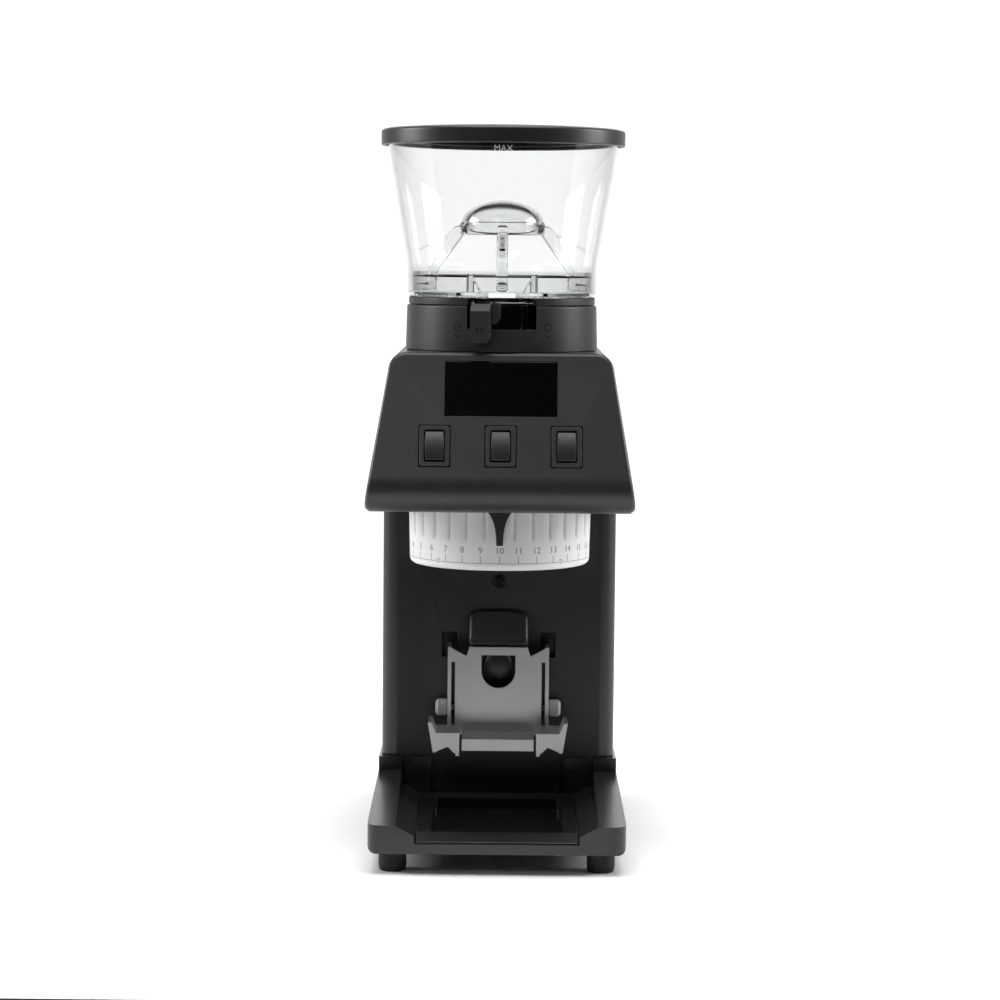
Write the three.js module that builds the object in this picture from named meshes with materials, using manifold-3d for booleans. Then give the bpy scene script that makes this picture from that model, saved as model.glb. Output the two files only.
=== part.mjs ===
// A burr coffee grinder for espresso, as an assembly of separate pieces.
// Millimetres, +Z up, front towards -Y. Pieces are drawn with y = 0 on the grinding axis,
// and the whole group is then moved so that the footprint is centred on the origin.
import * as THREE from 'three';
import { mergeVertices } from 'three/addons/utils/BufferGeometryUtils.js';
import Module from 'manifold-3d';

const wasm = await Module();
wasm.setup();

// ---------- Driving dimensions ----------

const CLEAR = 0.3; // gap between pieces that touch
const ROUND = 40; // facets of the large round pieces
const INNER = 24; // facets of the round pieces inside
const SMALL = 16; // facets of the small round pieces
const DEG = Math.PI / 180;

// Feet and base
const FOOT_HEIGHT = 10.2;
const FOOT_RADIUS = 7;
const FOOT_STEM_RADIUS = 2.5;
const FOOT_STEM_LENGTH = 2.6;
const FOOT_X = 51.9;
const FOOT_INSET = 14; // from the front and back of the base
const BASE_FRONT = -97;
const BASE_FRONT_WIDTH = 128.4;
const BASE_BACK_WIDTH = 125;
const BASE_FLOOR = 3.5;
const RAIL_FRONT_HEIGHT = 14.2; // all heights in this block are above the base's underside
const RAIL_BACK_HEIGHT = 21.1;
const RAIL_INNER_X = 50.1;
const LEDGE_HEIGHT = 9.1;
const RIM_HEIGHT = 28.3;
const RIM_INNER_X = 51;
const POST_INNER_X = 35.6;
const POST_OUTER_X = 47.2;
const POST_DEPTH = 2.7;
const FRONT_LIP_HEIGHT = 4.9;
const FRONT_WALL = 3;

// Grounds tray, which drops into the base
const TRAY_HALF_WIDTH = 40.6;
const TRAY_BACK = 10.7;
const TRAY_FLOOR = 1.5;
const TRAY_RECESS_X = 33;
const TRAY_RECESS_FRONT = -85;
const TRAY_RECESS_BACK = 8;

// Column
const WALL = 2.5;
const COLUMN_WIDTH = 124;
const COLUMN_FRONT = 27;
const BACK_FREE = 3.7; // from the motor to the outside of the back
const COLUMN_CORNER = 8;

// Head, whose front face leans back
const HEAD_BOTTOM = 177;
const HEAD_TOP = 257;
const HEAD_OVERHANG = 6.65; // of the head over each side of the column
const HEAD_TAPER = 13.15; // what each side leans in by
const HEAD_BACK_RADIUS = 20;
const FACE_TILT = 20 * DEG;
const FACE_SETBACK = 0.13; // of the top of the face from the foot of the neck
const FACE_FOOT_Z = 195.5; // where the flat face ends and the curve under it begins
const PANEL_THICK = 3.5;

// Display and switches, placed up the face from its foot
const WINDOW_WIDTH = 56;
const WINDOW_HEIGHT = 28.5;
const WINDOW_THICK = 2;
const WINDOW_UP = 46.5;
const BOARD_THICK = 1.6;
const SWITCH_WIDTH = 15;
const SWITCH_HEIGHT = 21;
const SWITCH_DEPTH = 16;
const SWITCH_UP = 16.3;
const SWITCH_PITCH = 33;
const PADDLE_WIDTH = 9.5;
const PADDLE_LENGTH = 15;
const PADDLE_PIVOT_DEPTH = 2.5;
const PADDLE_PIN_RADIUS = 1.2;
const PADDLE_PLAY = 0.7; // room for the swing at each end of the paddle
const SWITCH_POCKET_DEPTH = 9;
const POWER_TILT = 10 * DEG; // the mains rocker rests tipped to off
const POWER_SWITCH_RECESS = 2.5; // below the rear cover, so that the tipped rocker doesn't stand proud

// Neck, hopper, guard and lid
const NECK_HEIGHT = 23.3;
const NECK_WALL = 5.5;
const NECK_FLARE = 0.75; // of its foot
const NOTCH_PLAY = 3.02; // beside the lever at each end of its swing
const NOTCH_DEPTH = 11.9;
const BASE_RING_STEP = 0.75; // in from the neck
const BASE_RING_HEIGHT = 3.6;
const SPIGOT_RADIUS = 42.9;
const SPIGOT_DEPTH = 17.3; // below the top of the neck
const HOPPER_WALL = 2.1;
const HOPPER_WAIST_STEP = 0.1; // out from the neck
const HOPPER_WAIST_HEIGHT = 20.7; // this height and the next five are above the neck
const HOPPER_MOUTH_RADIUS = 59.75;
const HOPPER_HEIGHT = 83.9;
const GUARD_DOME_BASE_HEIGHT = 42.2;
const GUARD_DOME_TOP_HEIGHT = 54;
const GUARD_RIM_HEIGHT = 36;
const GUARD_RING_HEIGHT = 15.7;
const HOPPER_FLOOR_THICK = 2.3;
const FEED_COUNT = 6;
const FEED_HALF_ANGLE = 11 * DEG;
const FEED_INNER = 16;
const FEED_OUTER = 38;
const SHUTTER_TURN = 23 * DEG;
const SHUTTER_THICK = 2.4;
const LEVER_WIDTH = 10;
const LEVER_DROP = 18.3; // below the top of the neck
const LEVER_DEPTH = 5;
const ARM_WIDTH = 7;
const GUARD_RADIUS = 22;
const GUARD_WALL = 1.8;
const LID_OVERHANG = 3.25; // out from the mouth of the hopper
const LID_LAP = 2.4; // of its skirt over the hopper
const LID_HEIGHT = 10.2;
const LID_WALL = 2;
const LID_PLUG_STEP = 11.75; // in from the mouth of the hopper
const LID_PLUG_DEPTH = 8.6; // below the top of the lid
const SEAL_THICK = 1.7;

// Grinding chamber and adjustment
const RING_THICK = 4.25; // at its foot
const RING_FLARE = 0.75; // at its top
const RING_BOTTOM = 146;
const NICHE_FREE = 1; // of the ring in the niche that it turns in
const RING_TOP = 183;
const BARREL_WALL = 3.4;
const CHAMBER_FREE = 5.5; // around the flange of the spindle
const BARREL_BOTTOM = 161.8;
const BARREL_FLANGE_RADIUS = 56;
const BURR_RADIUS = 27;
const BURR_BORE = 15;
const BURR_THICK = 5.7;
const BURR_GAP = 0.8;
const BURR_SEAT = 161.3; // underside of the lower burr
const SPINDLE_RADIUS = 22.3;
const SPINDLE_BORE = 18.3;
const SPINDLE_FLANGE_STEP = 6; // out from the burrs
const SPINDLE_FLANGE_THICK = 4;
const SPINDLE_ABOVE_BELT = 2.5;
const BEARING_RADIUS = 29;
const BEARING_THICK = 7;
const BEARING_SEAT = 184.2;
const OUTLET_RADIUS = 13;
const OUTLET_Y = -14;
const POINTER_WIDTH = 12.4;
const POINTER_LENGTH = 17.3;
const POINTER_THICK = 2.2;

// Motor and belt drive
const MOTOR_FREE = 4; // from the niche of the adjusting ring
const MOTOR_RADIUS = 39.5;
const MOTOR_BOTTOM = 85;
const MOTOR_TOP = 180;
const SHAFT_RADIUS = 3.2;
const BELT_THICK = 1.6;
const BELT_ABOVE_BEARING = 3.3;
const BELT_WIDTH = 9;
const DRIVEN_PITCH_RADIUS = 36.9;
const DRIVE_RATIO = 3;
const CHASSIS_THICK = 3.5;
const CHASSIS_FRONT = -57;
const CHASSIS_SKIRT = 30;

// Bean funnel under the hopper
const FUNNEL_STEP = 0.4; // in from the neck
const FUNNEL_SPOUT_RADIUS = 17.5;
const FUNNEL_WALL = 1.6;

// Back of the column
const COVER_THICK = 2;
const COVER_HALF_WIDTH = 54;
const COVER_BOTTOM = 46;
const COVER_TOP = 169;
const COVER_LAP = 6;
const SCREW_RADIUS = 1.3;
const SCREW_HEAD_RADIUS = 2.6;
const SCREW_HEAD_THICK = 1.3;
const SCREW_LENGTH = 7;
const REAR_PORT_Z = 70;
const INLET_X = -22;
const POWER_SWITCH_X = 22;
const INLET_WIDTH = 27.4;
const INLET_HEIGHT = 20;
const INLET_DEPTH = 17;
const SOCKET_WIDTH = 24;
const SOCKET_HEIGHT = 16.2;
const SOCKET_DEPTH = 14;
const PIN_PITCH = 7;
const VENT_COUNT = 6;
const VENT_WIDTH = 64;
const VENT_HEIGHT = 3;
const VENT_PITCH = 9;
const VENT_BOTTOM = 100;

// Front of the column: button, visor, sockets and fork
const BUTTON_Z = 88.5;
const BUTTON_RADIUS = 7.6;
const BUTTON_FRONT = 19;
const BUTTON_STROKE = 3.5;
const BUTTON_RING_RADIUS = 10.4;
const VISOR_HALF_WIDTH = 15.7;
const VISOR_BOTTOM = 99.7;
const VISOR_TOP = 116.8;
const VISOR_REACH = 13.5;
const VISOR_WALL = 1.8;
const SOCKET_X = 26.2;
const SOCKET_OPENING_WIDTH = 8;
const SOCKET_BOTTOM = 92.2;
const SOCKET_TOP = 105.6;
const CUP_WALL = 1.2;
const CUP_DEPTH = 6;
const FRONT_SCREW_Z = 133.4;
const SHEET = 1.9;
const FORK_FACE_Y = 13;
const FORK_HALF_WIDTH = 22.9;
const FORK_TOP = 99.4;
const FORK_SHELF_Z = 54.6;
const FORK_FRONT_Y = -12;
const FORK_SHELF_HALF_WIDTH = 18.7;
const FORK_LIP_BOTTOM = 48.5;
const FORK_HOLE_HALF_WIDTH = 9;
const FORK_HOLE_BOTTOM = 77.6;
const FORK_FLANGE_Z = 95.1;
const FORK_FLANGE_HALF_WIDTH = 15.5;
const SIDE_PLATE_X = 25.8;
const WING_Z = 57.7;
const WING_INNER_X = 21;
const WING_OUTER_X = 33;
const FLARE_TIP_X = 36.4;
const ROLLER_RADIUS = 4.5;
const ROLLER_Z = 65.9;
const ROLLER_LENGTH = 6.2;
const ROLLER_PIN_RADIUS = 1.5;

// ---------- Sizes that follow from the ones above ----------

const SPINDLE_FLANGE_RADIUS = BURR_RADIUS + SPINDLE_FLANGE_STEP;
const CHAMBER_RADIUS = SPINDLE_FLANGE_RADIUS + CHAMBER_FREE;
const BARREL_RADIUS = CHAMBER_RADIUS + BARREL_WALL;
const RING_BORE = BARREL_RADIUS + 2 * CLEAR;
const RING_FOOT_RADIUS = RING_BORE + RING_THICK;
const RING_RADIUS = RING_FOOT_RADIUS + RING_FLARE;
const NICHE_RADIUS = RING_RADIUS + NICHE_FREE;
const MOTOR_Y = NICHE_RADIUS + WALL + MOTOR_FREE + MOTOR_RADIUS;
const SHELL_BACK = MOTOR_Y + MOTOR_RADIUS + BACK_FREE;
const BASE_BOTTOM = FOOT_HEIGHT + CLEAR;
const LEDGE_Z = BASE_BOTTOM + LEDGE_HEIGHT;
const RIM_TOP = BASE_BOTTOM + RIM_HEIGHT;
const RIM_FRONT = COLUMN_FRONT - CLEAR - POST_DEPTH;
const COLUMN_BOTTOM = RIM_TOP + CLEAR;
const COLUMN_TOP = HEAD_BOTTOM - CLEAR;
const HEAD_BOTTOM_WIDTH = COLUMN_WIDTH + 2 * HEAD_OVERHANG;
const HEAD_TOP_WIDTH = HEAD_BOTTOM_WIDTH - 2 * HEAD_TAPER;
const COVER_BACK = SHELL_BACK + CLEAR + COVER_THICK;
const NECK_BORE = SPIGOT_RADIUS + 2 * CLEAR;
const NECK_RADIUS = NECK_BORE + NECK_WALL;
const NECK_FOOT_RADIUS = NECK_RADIUS + NECK_FLARE;
const FACE_DEPTH = (HEAD_TOP - FACE_FOOT_Z) * Math.tan(FACE_TILT);
const FACE_FOOT_Y = -(NECK_FOOT_RADIUS - FACE_SETBACK + FACE_DEPTH); // below it the head curves under
const CURVE_RADIUS = (FACE_FOOT_Z - HEAD_BOTTOM) / (1 + Math.sin(FACE_TILT));
const CURVE_Y = FACE_FOOT_Y + CURVE_RADIUS * Math.cos(FACE_TILT);
const CURVE_Z = FACE_FOOT_Z - CURVE_RADIUS * Math.sin(FACE_TILT);
const NECK_TOP = HEAD_TOP + NECK_HEIGHT;
const FUNNEL_RIM_RADIUS = NECK_BORE - FUNNEL_STEP;
const BASE_RING_RADIUS = NECK_RADIUS - BASE_RING_STEP;
const NOTCH_FLOOR = NECK_TOP - NOTCH_DEPTH;
const SPIGOT_BOTTOM = NECK_TOP - SPIGOT_DEPTH;
const LEVER_BOTTOM = NECK_TOP - LEVER_DROP;
const HOPPER_WAIST_RADIUS = NECK_RADIUS + HOPPER_WAIST_STEP;
const HOPPER_WAIST_TOP = NECK_TOP + HOPPER_WAIST_HEIGHT;
const HOPPER_TOP = NECK_TOP + HOPPER_HEIGHT;
const GUARD_DOME_BASE = NECK_TOP + GUARD_DOME_BASE_HEIGHT;
const GUARD_DOME_TOP = NECK_TOP + GUARD_DOME_TOP_HEIGHT;
const GUARD_RIM_BOTTOM = NECK_TOP + GUARD_RIM_HEIGHT;
const GUARD_RING_TOP = NECK_TOP + GUARD_RING_HEIGHT;
const LID_RADIUS = HOPPER_MOUTH_RADIUS + LID_OVERHANG;
const LID_PLUG_RADIUS = HOPPER_MOUTH_RADIUS - LID_PLUG_STEP;
const LID_SKIRT_BOTTOM = HOPPER_TOP - LID_LAP;
const LID_TOP = LID_SKIRT_BOTTOM + LID_HEIGHT;
const LID_PLUG_BOTTOM = LID_TOP - LID_PLUG_DEPTH;
const BASE_RING_TOP = NECK_TOP + CLEAR + BASE_RING_HEIGHT;
const HOPPER_FLOOR_Z = BASE_RING_TOP + CLEAR;
const SHUTTER_TOP = HOPPER_FLOOR_Z - CLEAR;
const SHUTTER_BOTTOM = SHUTTER_TOP - SHUTTER_THICK;
const NOTCH_HALF_ANGLE = SHUTTER_TURN / 2 + Math.asin((LEVER_WIDTH / 2 + NOTCH_PLAY) / NECK_RADIUS);
const BURR_FACE = BURR_SEAT + BURR_THICK;
const UPPER_BURR_Z = BURR_FACE + BURR_GAP;
const SPINDLE_FLANGE_Z = UPPER_BURR_Z + BURR_THICK + CLEAR;
const CHASSIS_BOTTOM = RING_TOP + CLEAR;
const CHASSIS_TOP = CHASSIS_BOTTOM + CHASSIS_THICK;
const BELT_BOTTOM = BEARING_SEAT + BEARING_THICK + BELT_ABOVE_BEARING;
const SPINDLE_TOP = BELT_BOTTOM + BELT_WIDTH + SPINDLE_ABOVE_BELT;
const MOTOR_PITCH_RADIUS = DRIVEN_PITCH_RADIUS / DRIVE_RATIO;
const BASE_CENTRE_Y = (BASE_FRONT + COVER_BACK) / 2;

// ---------- Shapes ----------

const X = new THREE.Vector3(1, 0, 0);
const Y = new THREE.Vector3(0, 1, 0);
const Z = new THREE.Vector3(0, 0, 1);

// How an outline and its depth lie when it is drawn across each axis.
const ACROSS = {
  x: new THREE.Matrix4().makeBasis(Y, Z, X),
  y: new THREE.Matrix4().makeBasis(X, Z, Y.clone().negate()),
  z: new THREE.Matrix4(),
};

function signedVolume(position, triangles) {
  const [a, b, c] = [new THREE.Vector3(), new THREE.Vector3(), new THREE.Vector3()];
  let volume = 0;
  for (let i = 0; i < triangles.length; i += 3) {
    a.fromBufferAttribute(position, triangles[i]);
    b.fromBufferAttribute(position, triangles[i + 1]);
    c.fromBufferAttribute(position, triangles[i + 2]);
    volume += a.dot(b.cross(c)) / 6;
  }
  return volume;
}

// A welded solid that faces out, ready to add to, cut or keep.
function solid(geometry) {
  geometry.deleteAttribute('normal');
  geometry.deleteAttribute('uv');
  const welded = mergeVertices(geometry);
  const index = welded.index.array;
  const triangles = [];
  for (let i = 0; i < index.length; i += 3) {
    const [a, b, c] = index.slice(i, i + 3);
    if (a !== b && b !== c && c !== a) triangles.push(a, b, c);
  }
  if (signedVolume(welded.attributes.position, triangles) < 0) triangles.reverse();
  return new wasm.Manifold(new wasm.Mesh({
    numProp: 3,
    vertProperties: Float32Array.from(welded.attributes.position.array),
    triVerts: Uint32Array.from(triangles),
  }));
}

function geometryOf(shape) {
  const { vertProperties, triVerts } = shape.getMesh();
  const geometry = new THREE.BufferGeometry();
  geometry.setAttribute('position', new THREE.BufferAttribute(vertProperties, 3));
  geometry.setIndex(new THREE.BufferAttribute(triVerts, 1));
  return geometry;
}

// The same solid moved or turned by a matrix.
function placed(shape, matrix) {
  return solid(geometryOf(shape).applyMatrix4(matrix));
}

function mirrored(shape) {
  return placed(shape, new THREE.Matrix4().makeScale(-1, 1, 1));
}

function turned(shape, angle) {
  return placed(shape, new THREE.Matrix4().makeRotationZ(angle));
}

function joined(...shapes) {
  return shapes.reduce((sum, shape) => sum.add(shape));
}

function cut(shape, ...tools) {
  return tools.reduce((rest, tool) => rest.subtract(tool), shape);
}

function box(x0, x1, y0, y1, z0, z1) {
  const geometry = new THREE.BoxGeometry(x1 - x0, y1 - y0, z1 - z0);
  return solid(geometry.translate((x0 + x1) / 2, (y0 + y1) / 2, (z0 + z1) / 2));
}

// A box that is symmetrical about x = 0.
function midBox(halfWidth, y0, y1, z0, z1) {
  return box(-halfWidth, halfWidth, y0, y1, z0, z1);
}

// A prism across one axis: outline in the other two, as [first, second] pairs.
function prism(axis, outline, from, to) {
  const shape = new THREE.Shape(outline.map(([a, b]) => new THREE.Vector2(a, b)));
  const geometry = new THREE.ExtrudeGeometry(shape, { depth: to - from, bevelEnabled: false });
  geometry.translate(0, 0, axis === 'y' ? -to : from);
  return solid(geometry.applyMatrix4(ACROSS[axis]));
}

// An outline whose corners, [a, b, radius], are rounded.
function rounded(corners, steps = 3) {
  return corners.flatMap(([a, b, radius = 0], i) => {
    if (!radius) return [[a, b]];
    const here = new THREE.Vector2(a, b);
    const last = new THREE.Vector2(...corners.at(i - 1).slice(0, 2)).sub(here).normalize();
    const next = new THREE.Vector2(...corners[(i + 1) % corners.length].slice(0, 2)).sub(here).normalize();
    const half = Math.acos(last.dot(next)) / 2;
    const middle = last.clone().add(next).normalize();
    const centre = here.clone().addScaledVector(middle, radius / Math.sin(half));
    const sweep = Math.PI - 2 * half;
    const side = Math.sign(last.cross(next));
    const start = Math.atan2(-middle.y, -middle.x) + (side * sweep) / 2;
    return Array.from({ length: steps + 1 }, (_, k) => {
      const angle = start - (side * sweep * k) / steps;
      return [centre.x + radius * Math.cos(angle), centre.y + radius * Math.sin(angle)];
    });
  });
}

// A rectangle with equal round corners, about a centre.
function roundedRectangle(a, b, width, height, radius) {
  const [w, h] = [width / 2, height / 2];
  return rounded(
    [[a - w, b - h, radius], [a + w, b - h, radius], [a + w, b + h, radius], [a - w, b + h, radius]],
  );
}

// A body of revolution about a vertical line: profile as [radius, z] pairs.
function turnedProfile(profile, segments = ROUND, y = 0) {
  const points = profile.map(([r, z]) => new THREE.Vector2(r, z));
  const geometry = new THREE.LatheGeometry(points, segments);
  return solid(geometry.rotateX(Math.PI / 2).translate(0, y, 0));
}

// A tube or collar: the profile closes on itself.
function collar(profile, segments = ROUND, y = 0) {
  return turnedProfile([...profile, profile[0]], segments, y);
}

function disc(radius, z0, z1, segments = SMALL, y = 0) {
  return turnedProfile([[0, z0], [radius, z0], [radius, z1], [0, z1]], segments, y);
}

// A body of revolution about a line along y, through x and z: profile as [radius, y] pairs.
function turnedAlongY(profile, x, z, segments = SMALL) {
  const geometry = new THREE.LatheGeometry(profile.map(([r, y]) => new THREE.Vector2(r, y)), segments);
  return solid(geometry.translate(x, 0, z));
}

// A body of revolution about a line along x, through y and z: profile as [radius, x] pairs.
function turnedAlongX(profile, y, z, segments = SMALL) {
  const geometry = new THREE.LatheGeometry(profile.map(([r, x]) => new THREE.Vector2(r, x)), segments);
  return solid(geometry.rotateZ(-Math.PI / 2).translate(0, y, z));
}

// A sector of a disc, centred on an angle from the front, towards +X.
function sector(inner, outer, middle, halfAngle, z0, z1) {
  const steps = 3;
  const at = (radius, k) => {
    const angle = middle - halfAngle + (2 * halfAngle * k) / steps;
    return [radius * Math.sin(angle), -radius * Math.cos(angle)];
  };
  const rim = Array.from({ length: steps + 1 }, (_, k) => at(outer, k));
  const hub = Array.from({ length: steps + 1 }, (_, k) => at(inner, steps - k));
  return prism('z', [...rim, ...hub], z0, z1);
}

const group = new THREE.Group();
group.name = 'burr_coffee_grinder';

function addPiece(name, shape, finish) {
  const geometry = geometryOf(shape).translate(0, -BASE_CENTRE_Y, 0);
  geometry.computeVertexNormals();
  const mesh = new THREE.Mesh(geometry, new THREE.MeshStandardMaterial(finish));
  mesh.name = name;
  group.add(mesh);
}

// ---------- Finishes ----------

const BLACK_PLASTIC = { color: 0x2b2b2c, roughness: 0.55, metalness: 0 };
const BODY_PAINT = { color: 0x333335, roughness: 0.5, metalness: 0 };
const RUBBER = { color: 0x151516, roughness: 0.85, metalness: 0 };
const CLEAR_PLASTIC = { color: 0xe8ecee, roughness: 0.08, metalness: 0, transparent: true, opacity: 0.35 };
const MILKY_PLASTIC = { color: 0xd2d4d4, roughness: 0.35, metalness: 0 };
const STAINLESS = { color: 0x9a9b9c, roughness: 0.3, metalness: 1 };
const HARD_STEEL = { color: 0x6c6e70, roughness: 0.35, metalness: 1 };
const ALUMINIUM = { color: 0xb4b6b8, roughness: 0.4, metalness: 1 };
const GLOSS_BLACK = { color: 0x070708, roughness: 0.1, metalness: 0 };
const BOARD_GREEN = { color: 0x1f5a3a, roughness: 0.5, metalness: 0 };
const ZINC = { color: 0xa8aaac, roughness: 0.4, metalness: 1 };

// ---------- Base, tray and feet ----------

function footPlaces() {
  const front = BASE_FRONT + FOOT_INSET;
  const back = SHELL_BACK - FOOT_INSET;
  return [
    ['foot_front_left', -FOOT_X, front],
    ['foot_front_right', FOOT_X, front],
    ['foot_back_left', -FOOT_X, back],
    ['foot_back_right', FOOT_X, back],
  ];
}

function foot(x, y) {
  const shape = turnedProfile([
    [0, 0], [FOOT_RADIUS - 0.6, 0], [FOOT_RADIUS, 0.8], [FOOT_RADIUS, FOOT_HEIGHT],
    [FOOT_STEM_RADIUS, FOOT_HEIGHT], [FOOT_STEM_RADIUS, FOOT_HEIGHT + FOOT_STEM_LENGTH],
    [0, FOOT_HEIGHT + FOOT_STEM_LENGTH],
  ], SMALL);
  return placed(shape, new THREE.Matrix4().makeTranslation(x, y, 0));
}

// The space inside the base, above its ledge, between the rails.
function baseChannel() {
  const top = RIM_TOP + 1;
  const right = [
    [TRAY_HALF_WIDTH + CLEAR, LEDGE_Z], [RAIL_INNER_X, BASE_BOTTOM + RAIL_FRONT_HEIGHT],
    [RIM_INNER_X, BASE_BOTTOM + RAIL_BACK_HEIGHT], [RIM_INNER_X, top],
  ];
  const left = right.map(([x, z]) => [-x, z]).reverse();
  return prism('y', [...right, ...left], BASE_FRONT - 1, RIM_FRONT);
}

function basePlate() {
  const plan = rounded([
    [-BASE_FRONT_WIDTH / 2, BASE_FRONT, 6], [BASE_FRONT_WIDTH / 2, BASE_FRONT, 6],
    [BASE_BACK_WIDTH / 2, SHELL_BACK, 10], [-BASE_BACK_WIDTH / 2, SHELL_BACK, 10],
  ]);
  const elevation = rounded([
    [-BASE_FRONT_WIDTH / 2, BASE_BOTTOM, 3.5], [BASE_FRONT_WIDTH / 2, BASE_BOTTOM, 3.5],
    [BASE_FRONT_WIDTH / 2, RIM_TOP], [-BASE_FRONT_WIDTH / 2, RIM_TOP],
  ]);
  const block = prism('z', plan, BASE_BOTTOM, RIM_TOP)
    .intersect(prism('y', elevation, BASE_FRONT, SHELL_BACK));
  const aboveRails = prism('x', [
    [BASE_FRONT - 1, BASE_BOTTOM + RAIL_FRONT_HEIGHT], [RIM_FRONT, BASE_BOTTOM + RAIL_BACK_HEIGHT],
    [RIM_FRONT, RIM_TOP + 1], [BASE_FRONT - 1, RIM_TOP + 1],
  ], -BASE_FRONT_WIDTH, BASE_FRONT_WIDTH);
  const lipZ = BASE_BOTTOM + FRONT_LIP_HEIGHT;
  const trayPocket = joined(
    midBox(
      TRAY_HALF_WIDTH + CLEAR, BASE_FRONT + FRONT_WALL, TRAY_BACK + CLEAR, BASE_BOTTOM + TRAY_FLOOR,
      RIM_TOP,
    ),
    midBox(TRAY_HALF_WIDTH + CLEAR, BASE_FRONT - 1, BASE_FRONT + FRONT_WALL + 1, lipZ, RIM_TOP),
  );
  const tongueSpace = midBox(RIM_INNER_X, RIM_FRONT - 1, COLUMN_FRONT + WALL + CLEAR, LEDGE_Z, RIM_TOP + 1);
  const post = box(POST_INNER_X, POST_OUTER_X, RIM_FRONT, RIM_FRONT + POST_DEPTH, LEDGE_Z - 1, RIM_TOP);
  const pan = midBox(
    BASE_BACK_WIDTH / 2 - 6, COLUMN_FRONT + 2 * WALL + CLEAR, SHELL_BACK - WALL,
    BASE_BOTTOM + BASE_FLOOR, RIM_TOP + 1,
  );
  const stemHoles = footPlaces().map(([, x, y]) => placed(
    disc(FOOT_STEM_RADIUS + CLEAR, FOOT_HEIGHT, FOOT_HEIGHT + FOOT_STEM_LENGTH + CLEAR, 20),
    new THREE.Matrix4().makeTranslation(x, y, 0),
  ));
  const hollow = cut(block, aboveRails, baseChannel(), trayPocket, tongueSpace, pan, ...stemHoles);
  return joined(hollow, post, mirrored(post));
}

// The tray is a shallow box with a deep rim, and its front lip slopes down to the base's front wall.
function groundsTray() {
  const front = BASE_FRONT + FRONT_WALL + CLEAR;
  const bottom = BASE_BOTTOM + TRAY_FLOOR + CLEAR;
  const side = [
    [front, bottom], [TRAY_BACK, bottom], [TRAY_BACK, LEDGE_Z], [TRAY_RECESS_FRONT, LEDGE_Z],
    [front, BASE_BOTTOM + FRONT_LIP_HEIGHT + 0.6],
  ];
  const body = prism('x', side, -TRAY_HALF_WIDTH, TRAY_HALF_WIDTH);
  const recess = prism('z', roundedRectangle(
    0, (TRAY_RECESS_FRONT + TRAY_RECESS_BACK) / 2,
    2 * TRAY_RECESS_X, TRAY_RECESS_BACK - TRAY_RECESS_FRONT, 3,
  ), bottom + TRAY_FLOOR, LEDGE_Z + 1);
  return cut(body, recess);
}

// ---------- Column ----------

function columnOutline(inset) {
  const x = COLUMN_WIDTH / 2 - inset;
  const radius = COLUMN_CORNER - inset;
  return rounded([
    [-x, COLUMN_FRONT + inset, radius], [x, COLUMN_FRONT + inset, radius],
    [x, SHELL_BACK - inset, radius], [-x, SHELL_BACK - inset, radius],
  ]);
}

// The half-round niche that the back of the adjusting ring turns in.
function ringNiche() {
  const bore = NICHE_RADIUS;
  const outside = disc(bore + WALL, RING_BOTTOM - 1 - WALL, COLUMN_TOP, ROUND);
  const front = midBox(bore + 2 * WALL, -2 * bore, COLUMN_FRONT + 1, 0, HEAD_TOP);
  return {
    wall: cut(outside, front),
    space: disc(bore, RING_BOTTOM - 1, HEAD_TOP, ROUND),
  };
}

function columnShell() {
  const outside = prism('z', columnOutline(0), COLUMN_BOTTOM, COLUMN_TOP);
  const inside = prism('z', columnOutline(WALL), COLUMN_BOTTOM - 1, COLUMN_TOP + 1);
  const tongue = midBox(
    RIM_INNER_X - CLEAR, COLUMN_FRONT, COLUMN_FRONT + WALL, LEDGE_Z + CLEAR, COLUMN_BOTTOM + 1,
  );
  const niche = ringNiche();
  const backOpening = midBox(
    COVER_HALF_WIDTH - COVER_LAP, SHELL_BACK - 2 * WALL, SHELL_BACK + 1, COVER_BOTTOM + COVER_LAP,
    COVER_TOP - COVER_LAP,
  );
  const buttonHole = turnedAlongY(
    [
      [0, 0], [BUTTON_RADIUS + CLEAR, 0], [BUTTON_RADIUS + CLEAR, COLUMN_FRONT + 2 * WALL],
      [0, COLUMN_FRONT + 2 * WALL],
    ],
    0, BUTTON_Z,
  );
  const half = SOCKET_OPENING_WIDTH / 2;
  const hookSlots = [-1, 1].map((side) => box(
    side * SOCKET_X - half, side * SOCKET_X + half, COLUMN_FRONT - 1, COLUMN_FRONT + 2 * WALL,
    SOCKET_BOTTOM, SOCKET_TOP,
  ));
  const screwHoles = coverScrewPlaces().map(([, x, z]) => turnedAlongY(
    [
      [0, SHELL_BACK - 2 * WALL], [SCREW_RADIUS + CLEAR, SHELL_BACK - 2 * WALL],
      [SCREW_RADIUS + CLEAR, SHELL_BACK + 1], [0, SHELL_BACK + 1],
    ],
    x, z, 12,
  ));
  const frontScrewHole = turnedAlongY([
    [0, COLUMN_FRONT - 1], [4, COLUMN_FRONT - 1], [4, COLUMN_FRONT + 1.5],
    [SCREW_RADIUS + CLEAR, COLUMN_FRONT + 1.5],
    [SCREW_RADIUS + CLEAR, COLUMN_FRONT + 2 * WALL], [0, COLUMN_FRONT + 2 * WALL],
  ], 0, FRONT_SCREW_Z, 24);
  const tube = cut(joined(cut(outside, inside), tongue, niche.wall), niche.space);
  return cut(tube, backOpening, buttonHole, ...hookSlots, ...screwHoles, frontScrewHole);
}

function coverScrewPlaces() {
  const x = COVER_HALF_WIDTH - COVER_LAP / 2;
  const [low, high] = [COVER_BOTTOM + COVER_LAP / 2, COVER_TOP - COVER_LAP / 2];
  return [
    ['cover_screw_1', -x, low], ['cover_screw_2', x, low],
    ['cover_screw_3', -x, high], ['cover_screw_4', x, high],
  ];
}

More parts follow.
